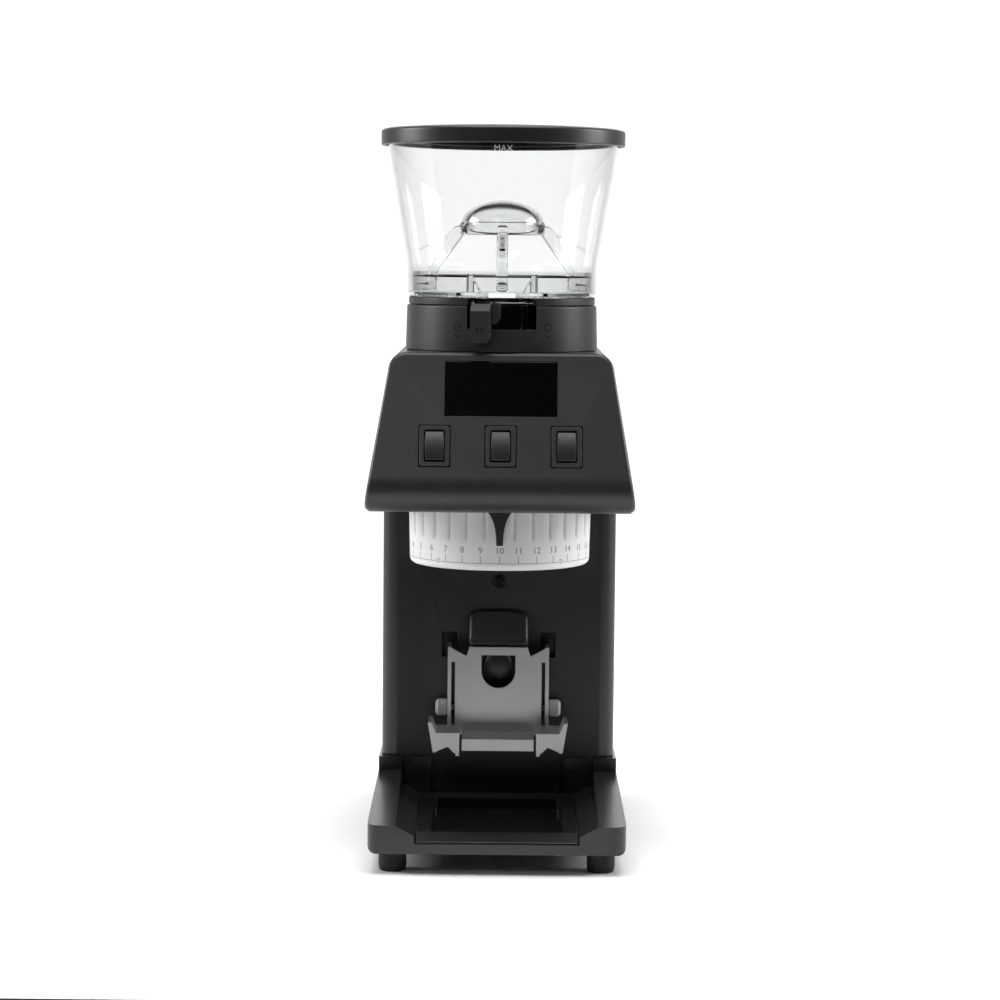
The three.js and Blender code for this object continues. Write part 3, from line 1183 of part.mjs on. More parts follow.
// A cup behind each slot in the column, for the fork's hook.
function hookSocket(side) {
  const half = SOCKET_OPENING_WIDTH / 2;
  const front = COLUMN_FRONT + WALL + CLEAR;
  const x = side * SOCKET_X;
  const outside = box(
    x - half - CUP_WALL, x + half + CUP_WALL, front, front + CUP_DEPTH, SOCKET_BOTTOM - CUP_WALL,
    SOCKET_TOP + CUP_WALL,
  );
  return cut(
    outside, box(x - half, x + half, front - 1, front + CUP_DEPTH - CUP_WALL, SOCKET_BOTTOM, SOCKET_TOP),
  );
}

function forkBackPlate() {
  const outline = [
    [-FORK_HALF_WIDTH - 3, FORK_TOP], [-FORK_HALF_WIDTH - 3, FORK_TOP - 8], [-FORK_HALF_WIDTH, FORK_TOP - 8],
    [-FORK_HALF_WIDTH, FORK_SHELF_Z - SHEET], [FORK_HALF_WIDTH, FORK_SHELF_Z - SHEET],
    [FORK_HALF_WIDTH, FORK_TOP - 8],
    [FORK_HALF_WIDTH + 3, FORK_TOP - 8], [FORK_HALF_WIDTH + 3, FORK_TOP],
    [FORK_FLANGE_HALF_WIDTH + 1.5, FORK_FLANGE_Z - 0.5],
    [FORK_FLANGE_HALF_WIDTH, FORK_TOP - 1], [-FORK_FLANGE_HALF_WIDTH, FORK_TOP - 1],
    [-FORK_FLANGE_HALF_WIDTH - 1.5, FORK_FLANGE_Z - 0.5],
  ];
  const plate = prism('y', outline, FORK_FACE_Y, FORK_FACE_Y + SHEET);
  const radius = FORK_HOLE_HALF_WIDTH;
  const hole = rounded([
    [-radius, FORK_FLANGE_Z], [-radius, FORK_HOLE_BOTTOM, radius - 0.01],
    [radius, FORK_HOLE_BOTTOM, radius - 0.01],
    [radius, FORK_FLANGE_Z],
  ], 6);
  const flange = midBox(FORK_FLANGE_HALF_WIDTH, FORK_FACE_Y, FORK_FACE_Y + 6, FORK_TOP - SHEET, FORK_TOP);
  return joined(cut(plate, prism('y', hole, FORK_FACE_Y - 1, FORK_FACE_Y + SHEET + 1)), flange);
}

// One side plate, with the hook at its top and the roller's pin hole.
function forkSidePlate() {
  const tip = COLUMN_FRONT + WALL + CLEAR + CUP_DEPTH - CUP_WALL - 2 * CLEAR;
  const hookBottom = SOCKET_BOTTOM + CLEAR;
  const heel = COLUMN_FRONT - 2 * CLEAR;
  const outline = [
    [FORK_FACE_Y, FORK_TOP], [FORK_FACE_Y, WING_Z - SHEET], [heel, WING_Z + 2], [heel, ROLLER_Z + 6],
    [heel - 6, ROLLER_Z + 11], [heel - 6, hookBottom], [tip, hookBottom], [tip, FORK_TOP],
  ];
  const plate = prism('x', outline, SIDE_PLATE_X - SHEET / 2, SIDE_PLATE_X + SHEET / 2);
  const radius = ROLLER_PIN_RADIUS + CLEAR;
  const hole = turnedAlongX(
    [[0, 0], [radius, 0], [radius, 2 * SIDE_PLATE_X], [0, 2 * SIDE_PLATE_X]], rollerY(), ROLLER_Z, 16,
  );
  return cut(plate, hole);
}

function rollerY() {
  return COLUMN_FRONT - CLEAR - ROLLER_RADIUS;
}

// One wing of the fork: a raised ledge, its front lip, an inner strip and an outer flare.
function forkWing() {
  const front = FORK_FRONT_Y - SHEET;
  const ledge = box(WING_INNER_X, WING_OUTER_X, front, FORK_FACE_Y + 1, WING_Z - SHEET, WING_Z);
  const lip = prism('y', [
    [WING_INNER_X, WING_Z], [WING_INNER_X, FORK_LIP_BOTTOM - 2], [WING_INNER_X + 2, FORK_LIP_BOTTOM - 1],
    [WING_INNER_X + 5, FORK_LIP_BOTTOM + 2], [WING_OUTER_X, FORK_LIP_BOTTOM - 1], [WING_OUTER_X, WING_Z],
  ], front, FORK_FRONT_Y);
  const strip = box(
    WING_INNER_X - SHEET / 2, WING_INNER_X + SHEET / 2, front, FORK_FACE_Y - 4, FORK_LIP_BOTTOM - 2.8, WING_Z,
  );
  const flare = prism('y', [
    [WING_OUTER_X - 1, FORK_LIP_BOTTOM - 1], [WING_OUTER_X + 0.8, FORK_LIP_BOTTOM - 1],
    [FLARE_TIP_X, WING_Z + 5.5],
    [FLARE_TIP_X - SHEET, WING_Z + 5.5], [WING_OUTER_X - 1, WING_Z - 1],
  ], front, FORK_FACE_Y - 5);
  return joined(ledge, lip, strip, flare);
}

function fork() {
  const shelf = midBox(
    FORK_SHELF_HALF_WIDTH, FORK_FRONT_Y - SHEET, FORK_FACE_Y + 1, FORK_SHELF_Z - SHEET, FORK_SHELF_Z,
  );
  const lip = midBox(
    FORK_SHELF_HALF_WIDTH, FORK_FRONT_Y - SHEET, FORK_FRONT_Y, FORK_LIP_BOTTOM, FORK_SHELF_Z,
  );
  const right = joined(forkSidePlate(), forkWing());
  return joined(forkBackPlate(), shelf, lip, right, mirrored(right));
}

function forkRoller() {
  const plate = SIDE_PLATE_X + SHEET / 2 + CLEAR;
  const inner = SIDE_PLATE_X - SHEET / 2 - CLEAR;
  return turnedAlongX([
    [0, inner - 1], [2.4, inner - 1], [2.4, inner], [ROLLER_PIN_RADIUS, inner], [ROLLER_PIN_RADIUS, plate],
    [ROLLER_RADIUS, plate], [ROLLER_RADIUS, plate + ROLLER_LENGTH - 0.4],
    [ROLLER_RADIUS - 0.4, plate + ROLLER_LENGTH],
    [0, plate + ROLLER_LENGTH],
  ], rollerY(), ROLLER_Z);
}

// ---------- Assembly ----------

for (const [name, x, y] of footPlaces()) addPiece(name, foot(x, y), RUBBER);
addPiece('base_plate', basePlate(), BLACK_PLASTIC);
addPiece('grounds_tray', groundsTray(), BLACK_PLASTIC);

addPiece('column_shell', columnShell(), BODY_PAINT);
addPiece('rear_cover', rearCover(), BODY_PAINT);
const coverScrewFace = COVER_BACK - CLEAR / 3;
for (const [name, x, z] of coverScrewPlaces()) addPiece(name, screw(x, coverScrewFace, z, -1), ZINC);
addPiece('mains_inlet', mainsInlet(), BLACK_PLASTIC);
addPiece('power_switch_bezel', placed(switchBezel(), onBack(POWER_SWITCH_X)), BLACK_PLASTIC);
addPiece('power_switch_rocker', placed(switchPaddle(POWER_TILT), onBack(POWER_SWITCH_X)), BLACK_PLASTIC);
addPiece('front_screw', screw(0, COLUMN_FRONT - 0.1, FRONT_SCREW_Z, 1), ZINC);
addPiece('power_board', powerBoard(), BOARD_GREEN);

addPiece('chassis', chassis(), ZINC);
addPiece('motor', motor(), ALUMINIUM);
addPiece('motor_shaft', motorShaft(), HARD_STEEL);
addPiece('motor_pulley', pulley(SHAFT_RADIUS + CLEAR, MOTOR_PITCH_RADIUS, MOTOR_Y, SMALL), ALUMINIUM);
addPiece('drive_belt', driveBelt(), RUBBER);
addPiece('driven_pulley', pulley(SPINDLE_RADIUS + CLEAR, DRIVEN_PITCH_RADIUS, 0, INNER), ALUMINIUM);
addPiece('spindle', spindle(), ALUMINIUM);
addPiece('spindle_bearing', spindleBearing(), HARD_STEEL);
addPiece('burr_barrel', burrBarrel(), ALUMINIUM);
addPiece('upper_burr', burr(UPPER_BURR_Z), HARD_STEEL);
addPiece('lower_burr', burr(BURR_SEAT), HARD_STEEL);
addPiece('burr_carrier', burrCarrier(), ALUMINIUM);
addPiece('adjusting_ring', adjustingRing(), MILKY_PLASTIC);
addPiece('grind_pointer', grindPointer(), BLACK_PLASTIC);
addPiece('bean_funnel', beanFunnel(), BLACK_PLASTIC);

addPiece('head_shell', headShell(), BODY_PAINT);
addPiece('control_panel', controlPanel(), BODY_PAINT);
addPiece('display_window', displayWindow(), GLOSS_BLACK);
addPiece('display_board', displayBoard(), BOARD_GREEN);
['left', 'middle', 'right'].forEach((place, i) => {
  const spot = onFace((i - 1) * SWITCH_PITCH, SWITCH_UP);
  addPiece(`switch_bezel_${place}`, placed(switchBezel(), spot), BLACK_PLASTIC);
  addPiece(`switch_rocker_${place}`, placed(switchPaddle(0), spot), BLACK_PLASTIC);
});

addPiece('neck_collar', neckCollar(), BODY_PAINT);
addPiece('hopper_base_ring', hopperBaseRing(), BLACK_PLASTIC);
addPiece('hopper', hopper(), CLEAR_PLASTIC);
addPiece('bean_guard', beanGuard(), CLEAR_PLASTIC);
addPiece('shutter_plate', shutterPlate(), CLEAR_PLASTIC);
addPiece('shutter_lever', shutterLever(), BLACK_PLASTIC);
addPiece('lid', lid(), BLACK_PLASTIC);
addPiece('lid_seal', lidSeal(), RUBBER);

addPiece('dose_button', doseButton(), RUBBER);
addPiece('button_ring', buttonRing(), BLACK_PLASTIC);
addPiece('microswitch', microswitch(), BLACK_PLASTIC);
addPiece('button_visor', buttonVisor(), BODY_PAINT);
addPiece('hook_socket_left', hookSocket(-1), BLACK_PLASTIC);
addPiece('hook_socket_right', hookSocket(1), BLACK_PLASTIC);
addPiece('fork', fork(), STAINLESS);
addPiece('fork_roller_left', mirrored(forkRoller()), STAINLESS);
addPiece('fork_roller_right', forkRoller(), STAINLESS);

export default group;
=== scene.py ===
"""Burr coffee grinder: the detailed pieces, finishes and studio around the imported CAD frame."""

import math

import bmesh
import bpy
from mathutils import Matrix, Vector


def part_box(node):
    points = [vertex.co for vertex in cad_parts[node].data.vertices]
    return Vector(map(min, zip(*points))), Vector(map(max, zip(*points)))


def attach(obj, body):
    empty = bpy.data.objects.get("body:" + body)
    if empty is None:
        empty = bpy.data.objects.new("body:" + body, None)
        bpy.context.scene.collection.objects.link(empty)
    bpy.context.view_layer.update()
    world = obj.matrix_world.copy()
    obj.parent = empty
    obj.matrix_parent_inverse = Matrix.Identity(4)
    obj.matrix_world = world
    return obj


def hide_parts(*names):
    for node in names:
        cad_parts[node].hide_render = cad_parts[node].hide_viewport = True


bl_info = {
    "name": "Burr coffee grinder",
    "version": (1, 0, 0),
    "blender": (4, 5, 0),
    "location": "View3D > Sidebar > Grinder",
    "description": "Builds a burr coffee grinder around its CAD frame, one group of pieces at a time",
    "category": "Object",
}

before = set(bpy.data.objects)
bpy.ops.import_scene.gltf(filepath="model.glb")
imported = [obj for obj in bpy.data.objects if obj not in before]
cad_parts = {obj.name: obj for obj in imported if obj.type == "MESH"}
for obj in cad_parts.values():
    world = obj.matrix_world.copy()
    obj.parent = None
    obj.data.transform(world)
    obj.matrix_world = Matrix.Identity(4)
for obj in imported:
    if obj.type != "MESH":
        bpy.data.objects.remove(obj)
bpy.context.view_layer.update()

MM = 0.001
AXIS = sum((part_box("adjusting_ring")[i] for i in (0, 1)), Vector()) / 2  # the grinding axis
AXIS.z = 0
TO_ROW = Matrix.Translation(AXIS) @ Matrix.Scale(MM, 4)
SHARP = math.radians(35)  # edges that turn by less are smooth
FLAT_AREA = 1000 * MM * MM  # a face larger than this is shaded flat, so that its corners don't tint it
WELD = 2e-3  # points closer than this, in millimetres, are one point
FLUSH = 0.05  # a point less deep than this lies on the surface

# Sizes of the grinder that several pieces share, in millimetres about the grinding axis.
FACE_TILT = math.radians(20)
FACE_FOOT = (-72, 195.5)  # y and z where the flat face ends and the curve under it begins
FACE_CURVE = 13.78
PANEL_THICK = 3.5
HEAD_HALF_WIDTHS = (68.27, 55.5)  # at its bottom and top
WINDOW = (56, 28.5)  # across and up the face, as the switch below
WINDOW_UP = 46.5  # up the face from its foot
SWITCH = (15, 21)
SWITCH_UP = 16.3
SWITCH_X = {"left": -33, "middle": 0, "right": 33}
PADDLE_HALF = 7.5
OPENING_CLEARANCE = 0.55  # round each switch
SPIGOT = 42.9  # radius of the tube by which the hopper stands in the neck
WAIST = 49.1  # radius of the hopper's straight foot, below its flare
WAIST_TOP = 301
HOPPER_WALL = 2.1
HOPPER_FLOOR = 2.3
CLEARANCE = 0.3
NECK_BORE = 43.5
NECK_RADIUS = 49
NOTCH_HALF = 17.5
NOTCH_FLOOR = 268.4
SHUTTER_REST = -math.radians(11.5)
LEVER_FACES = (-55.35, -50.35)  # y of its front and back
LEVER_HALF = 5
RING_BORE = 42.5
DIAL_STEP = math.radians(12)  # from one number to the next
BUTTON_RADIUS = 7.6
ROLLER_LENGTH = 6.2
FOOT_STEM = (2.5, 2.6)  # its radius and length


# ---------- Sizes and colours that a user would change ----------


def linear(code):
    """The linear colour of an sRGB hex code."""
    parts = [int(code[i : i + 2], 16) / 255 for i in (1, 3, 5)]
    return [p / 12.92 if p <= 0.04045 else ((p + 0.055) / 1.055) ** 2.4 for p in parts]


def size(name, description, default):
    return bpy.props.FloatProperty(
        name=name, description=description, default=default * MM, unit="LENGTH", min=0.0, precision=5
    )


def colour(name, description, code):
    return bpy.props.FloatVectorProperty(
        name=name, description=description, default=linear(code), subtype="COLOR", size=3, min=0, max=1
    )


class GrinderLooks(bpy.types.PropertyGroup):
    edge: size("Edge rounding", "Radius on the edges of the moulded pieces", 0.35)
    panel_edge: size("Panel edge rounding", "Radius round the outside of the control panel", 1.7)
    bend: size("Fork bend", "Radius on the bends and edges of the sheet steel fork", 0.7)
    flute_depth: size("Flute depth", "Depth of the grooves round the adjusting ring", 1.3)
    digit_height: size("Digit height", "Height of the numbers on the adjusting ring", 3.3)
    panel_tint: colour("Panel", "Head, control panel and neck", "#2e2e30")
    column_tint: colour("Column", "Painted column and rear cover", "#1b1b1d")
    base_tint: colour("Base", "Base and grounds tray", "#141416")
    lid_tint: colour("Lid", "Hopper lid", "#2b2b2d")
    ring_tint: colour("Adjusting ring", "Milky adjusting ring", "#ecedec")
    fork_tint: colour("Steel", "Fork and other bright steel", "#c2c3c4")
    clear_tint: colour("Hopper", "Clear hopper, guard and shutter", "#fbfcfc")


def looks():
    return bpy.context.scene.coffee_grinder


def mm(prop):
    """A size property in millimetres."""
    return getattr(looks(), prop) / MM


# ---------- Shapes, in millimetres about the grinding axis ----------


def span(node):
    """The lowest and highest corner of a CAD node, in millimetres about the grinding axis."""
    return tuple((corner - AXIS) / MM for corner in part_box(node))


def solid(verts, faces):
    """A temporary object from points and faces, welded and facing out."""
    mesh = bpy.data.meshes.new("shape")
    mesh.from_pydata(verts, [], faces)
    shape = bpy.data.objects.new("shape", mesh)
    bpy.context.scene.collection.objects.link(shape)
    edit(shape, lambda bm: bmesh.ops.remove_doubles(bm, verts=bm.verts, dist=1e-4))
    edit(shape, lambda bm: bmesh.ops.recalc_face_normals(bm, faces=bm.faces))
    return shape


def edit(shape, change):
    """Runs change on the shape's mesh as a bmesh."""
    bm = bmesh.new()
    bm.from_mesh(shape.data)
    change(bm)
    bm.to_mesh(shape.data)
    bm.free()
    return shape


def applied(shape):
    """Turns the shape's modifiers into mesh."""
    graph = bpy.context.evaluated_depsgraph_get()
    mesh = bpy.data.meshes.new_from_object(shape.evaluated_get(graph))
    shape.modifiers.clear()
    shape.data = mesh
    return shape


def boolean(operation, shape, tools):
    for tool in tools:
        step = shape.modifiers.new("boolean", "BOOLEAN")
        step.operation, step.solver, step.object = operation, "MANIFOLD", tool
    applied(shape)
    for tool in tools:
        bpy.data.objects.remove(tool)
    return shape


def cut(shape, *tools):
    return boolean("DIFFERENCE", shape, tools)


def joined(shape, *others):
    return boolean("UNION", shape, others)


def common(shape, *others):
    return boolean("INTERSECT", shape, others)


def prism(axis, outline, low, high):
    """A prism across one axis: its outline is in the other two, in their order."""
    place = {
        "x": lambda a, b, t: (t, a, b),
        "y": lambda a, b, t: (a, t, b),
        "z": lambda a, b, t: (a, b, t),
    }[axis]
    count = len(outline)
    verts = [place(a, b, t) for t in (low, high) for a, b in outline]
    sides = [(i, (i + 1) % count, count + (i + 1) % count, count + i) for i in range(count)]
    return solid(verts, [tuple(range(count)), tuple(range(count, 2 * count)), *sides])


def box(x0, x1, y0, y1, z0, z1):
    return prism("z", [(x0, y0), (x1, y0), (x1, y1), (x0, y1)], z0, z1)


def rounded(corners, steps=6):
    """An outline whose corners, (a, b, radius), are rounded."""
    points = []
    for i, corner in enumerate(corners):
        here = Vector(corner[:2])
        if len(corner) < 3:
            points.append(tuple(here))
            continue
        last = (Vector(corners[i - 1][:2]) - here).normalized()
        after = (Vector(corners[(i + 1) % len(corners)][:2]) - here).normalized()
        half = last.angle(after) / 2
        middle = (last + after).normalized()
        centre = here + middle * (corner[2] / math.sin(half))
        sweep = math.pi - 2 * half
        side = 1 if last.x * after.y - last.y * after.x > 0 else -1
        start = math.atan2(-middle.y, -middle.x) + side * sweep / 2
        for k in range(steps + 1):
            angle = start - side * sweep * k / steps
            points.append((centre.x + corner[2] * math.cos(angle), centre.y + corner[2] * math.sin(angle)))
    return points


def rectangle(a, b, width, height, radius, steps=6):
    w, h = width / 2, height / 2
    corners = [(a - w, b - h), (a + w, b - h), (a + w, b + h), (a - w, b + h)]
    return rounded([(x, y, radius) for x, y in corners], steps)


def lathe(profile, segments=96, axis="z", centre=(0, 0, 0), radius=None):
    """A body of revolution: profile as (radius, height) pairs, which closes on itself away from the axis.
    radius, if given, changes a point's radius by its angle and height."""
    place = {
        "x": lambda s, c, h: (h, s, c),
        "y": lambda s, c, h: (s, h, c),
        "z": lambda s, c, h: (s, -c, h),
    }[axis]
    verts = []
    for k in range(segments):
        angle = 2 * math.pi * k / segments
        for r, h in profile:
            r = radius(r, angle, h) if radius else r
            verts.append(Vector(place(r * math.sin(angle), r * math.cos(angle), h)) + Vector(centre))
    count = len(profile)
    rows = range(count if profile[0][0] > 0 or profile[-1][0] > 0 else count - 1)
    faces = []
    for k in range(segments):
        here, after = k * count, (k + 1) % segments * count
        faces += [(here + i, here + (i + 1) % count, after + (i + 1) % count, after + i) for i in rows]
    return solid(verts, faces)


def sector(inner, outer, middle, half, z0, z1, steps=8):
    """A sector of a disc, centred on an angle from the front, towards +X."""
    angles = [middle - half + 2 * half * k / steps for k in range(steps + 1)]
    rim = [(outer * math.sin(a), -outer * math.cos(a)) for a in angles]
    hub = [(inner * math.sin(a), -inner * math.cos(a)) for a in reversed(angles)]
    return prism("z", rim + hub, z0, z1)


def moved(shape, matrix):
    shape.data.transform(matrix)
    return shape


def turned(shape, angle):
    return moved(shape, Matrix.Rotation(angle, 4, "Z"))


def from_cad(node):
    """A copy of a CAD node as a shape, with its points welded."""
    shape = bpy.data.objects.new("shape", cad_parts[node].data.copy())
    bpy.context.scene.collection.objects.link(shape)
    shape.data.materials.clear()
    moved(shape, TO_ROW.inverted())
    edit(shape, lambda bm: bmesh.ops.remove_doubles(bm, verts=bm.verts, dist=WELD))
    return shape


def bevelled(shape, radius, pick, segments=5):
    """Rounds the sharp edges that pick chooses by their two ends."""

    def change(bm):
        tidy_faces(bm)
        edges = [
            e for e in bm.edges
            if len(e.link_faces) == 2 and e.calc_face_angle() > SHARP and pick(e.verts[0].co, e.verts[1].co)
        ]
        bmesh.ops.bevel(bm, geom=edges, offset=radius, segments=segments, profile=0.5, affect="EDGES")

    return edit(shape, change)


def tidy_faces(bm):
    bmesh.ops.remove_doubles(bm, verts=bm.verts, dist=WELD)
    bmesh.ops.dissolve_limit(bm, angle_limit=math.radians(0.4), verts=bm.verts, edges=bm.edges)
    bmesh.ops.recalc_face_normals(bm, faces=bm.faces)


def piece(shape, name, body, nodes, material, edge=None, segments=2):
    """Makes a shape a finished piece: rounded edges, smooth faces, material and place in the frame."""
    edit(shape, tidy_faces)
    moved(shape, TO_ROW)
    shape.name = shape.data.name = name
    for face in shape.data.polygons:
        face.use_smooth, face.material_index = face.area < FLAT_AREA, 0
    shape.data.materials.clear()
    width = looks().edge if edge is None else edge * MM
    if width > 0:
        soft = shape.modifiers.new("soft_edges", "BEVEL")
        soft.width, soft.segments, soft.limit_method, soft.angle_limit = width, segments, "ANGLE", SHARP
        soft.harden_normals = True
    else:
        shape.data.set_sharp_from_angle(angle=SHARP)
    weighted = shape.modifiers.new("face_normals", "WEIGHTED_NORMAL")
    weighted.keep_sharp, weighted.weight = True, 95
    shape.data.materials.append(material)
    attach(shape, body)
    if nodes:
        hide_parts(*nodes)
    return shape


def dress(material, *nodes):
    """Gives CAD nodes that keep their own shape a better material."""
    for name in nodes:
        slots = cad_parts[name].material_slots
        for slot in slots:
            slot.material = material


# ---------- Marks: thin figures wrapped round a cylinder or laid on a face ----------


def stroke(points, width, closed=False):
    """Flat quads, two wide per step, along a line of points."""
    quads = []
    pairs = list(zip(points, points[1:] + points[:1] if closed else points[1:]))
    for start, end in pairs:
        a, b = Vector(start), Vector(end)
        side = Vector((a.y - b.y, b.x - a.x)).normalized() * width / 2
        along = (b - a).normalized() * width / 4
        quads.append([a - side - along, b - side + along, b + side + along, a + side - along])
    return quads


def circle(x, y, radius, width, steps=24):
    ring = [(x + radius * math.cos(t), y + radius * math.sin(t)) for t in turns(steps)]
    return stroke(ring, width, closed=True)


def turns(count):
    return [2 * math.pi * k / count for k in range(count)]


def lettering(text, height, x, y):
    """The faces of a short generic text, centred on x, as polygons."""
    curve = bpy.data.curves.new("text", "FONT")
    curve.body, curve.size, curve.align_x = text, height / 0.72, "CENTER"
    curve.resolution_u = 3
    writer = bpy.data.objects.new("text", curve)
    bpy.context.scene.collection.objects.link(writer)
    mesh = bpy.data.meshes.new_from_object(writer.evaluated_get(bpy.context.evaluated_depsgraph_get()))
    points = [Vector((x + v.co.x, y + v.co.y)) for v in mesh.vertices]
    faces = [[points[i] for i in face.vertices] for face in mesh.polygons]
    bpy.data.objects.remove(writer)
    return faces


def figure(polygons, place, low=-0.1, high=0.06):
    """A thin solid from flat polygons: place puts (x, y, height) into space."""
    verts, faces = [], []
    for polygon in polygons:
        first, count = len(verts), len(polygon)
        verts += [place(p.x, p.y, h) for h in (low, high) for p in polygon]
        second = first + count
        faces += [tuple(range(first, second)), tuple(range(second, second + count))]
        for i in range(count):
            after = (i + 1) % count
            faces.append((first + i, first + after, second + after, second + i))
    mesh = bpy.data.meshes.new("figure")
    mesh.from_pydata(verts, [], faces)
    shape = bpy.data.objects.new("shape", mesh)
    bpy.context.scene.collection.objects.link(shape)
    return edit(shape, lambda bm: bmesh.ops.recalc_face_normals(bm, faces=bm.faces))


def round_the_axis(radius, middle=0.0):
    """Wraps x round the grinding axis, from an angle off the front; y is the height."""

    def place(x, y, height):
        reach = radius(y) if callable(radius) else radius
        angle = middle + x / reach
        return ((reach + height) * math.sin(angle), -(reach + height) * math.cos(angle), y)

    return place


# ---------- Finishes ----------


def add(tree, kind, settings=(), sockets=()):
    """One node: its settings, and its sockets' values or the outputs that feed them."""
    made = tree.nodes.new(kind)
    for name, value in dict(settings).items():
        setattr(made, name, value)
    for name, value in dict(sockets).items():
        if isinstance(value, bpy.types.NodeSocket):
            tree.links.new(value, made.inputs[name])
        else:
            made.inputs[name].default_value = value
    return made


def finish(
    name, tint, rough, grain=(0.4, 0.02), mottle=(25, 0.06), swing=0.06, stretch=(1, 1, 1), wear_and_highlight=0.0, **shader
):
    """A surface from real scales in millimetres. grain is its relief's size and depth, mottle the size and share
    of its uneven colour, swing how much its roughness varies, stretch draws the grain out, wear lightens convex
    edges: part edge wear, part painted highlight along the rims."""
    material = bpy.data.materials.new(name)
    material.use_nodes = True
    tree = material.node_tree
    tree.nodes.clear()
    place = add(tree, "ShaderNodeTexCoord").outputs["Object"]
    drawn = add(tree, "ShaderNodeMapping", sockets={"Vector": place, "Scale": stretch}).outputs[0]
    fine = add(tree, "ShaderNodeTexNoise", sockets={"Vector": drawn, "Scale": 1 / (grain[0] * MM), "Detail": 3.0})
    broad = add(tree, "ShaderNodeTexNoise", sockets={"Vector": place, "Scale": 1 / (mottle[0] * MM), "Detail": 4.0})
    dark = [c * (1 - mottle[1]) for c in tint] + [1]
    light = [min(1, c * (1 + mottle[1])) for c in tint] + [1]
    body = add(
        tree, "ShaderNodeMix", {"data_type": "RGBA"}, {0: broad.outputs["Fac"], 6: dark, 7: light}
    ).outputs[2]
    # Convex edges, found by pointiness, are lightened: partly edge wear, partly a painted highlight that stands in
    # for rim light.
    if wear_and_highlight:
        edge = add(
            tree, "ShaderNodeMapRange", {},
            {0: add(tree, "ShaderNodeNewGeometry").outputs["Pointiness"], 1: 0.52, 2: 0.6, 3: 0.0, 4: wear_and_highlight},
        ).outputs[0]
        worn_and_lit_edge = [min(1, c * 1.6 + 0.02) for c in tint] + [1]
        body = add(tree, "ShaderNodeMix", {"data_type": "RGBA"}, {0: edge, 6: body, 7: worn_and_lit_edge}).outputs[2]
    uneven = add(
        tree, "ShaderNodeMapRange", {},
        {0: fine.outputs["Fac"], 1: 0.3, 2: 0.7, 3: max(0.0, rough - swing), 4: min(1.0, rough + swing)},
    ).outputs[0]
    relief = add(
        tree, "ShaderNodeBump", {},
        {"Strength": 0.5, "Distance": grain[1] * MM, "Height": fine.outputs["Fac"]},
    ).outputs[0]
    own = {socket.replace("_", " "): value for socket, value in shader.items()}
    surface = add(
        tree, "ShaderNodeBsdfPrincipled", {},
        {"Base Color": body, "Roughness": uneven, "Normal": relief, **own},
    )
    add(tree, "ShaderNodeOutputMaterial", {}, {"Surface": surface.outputs[0]})
    return material
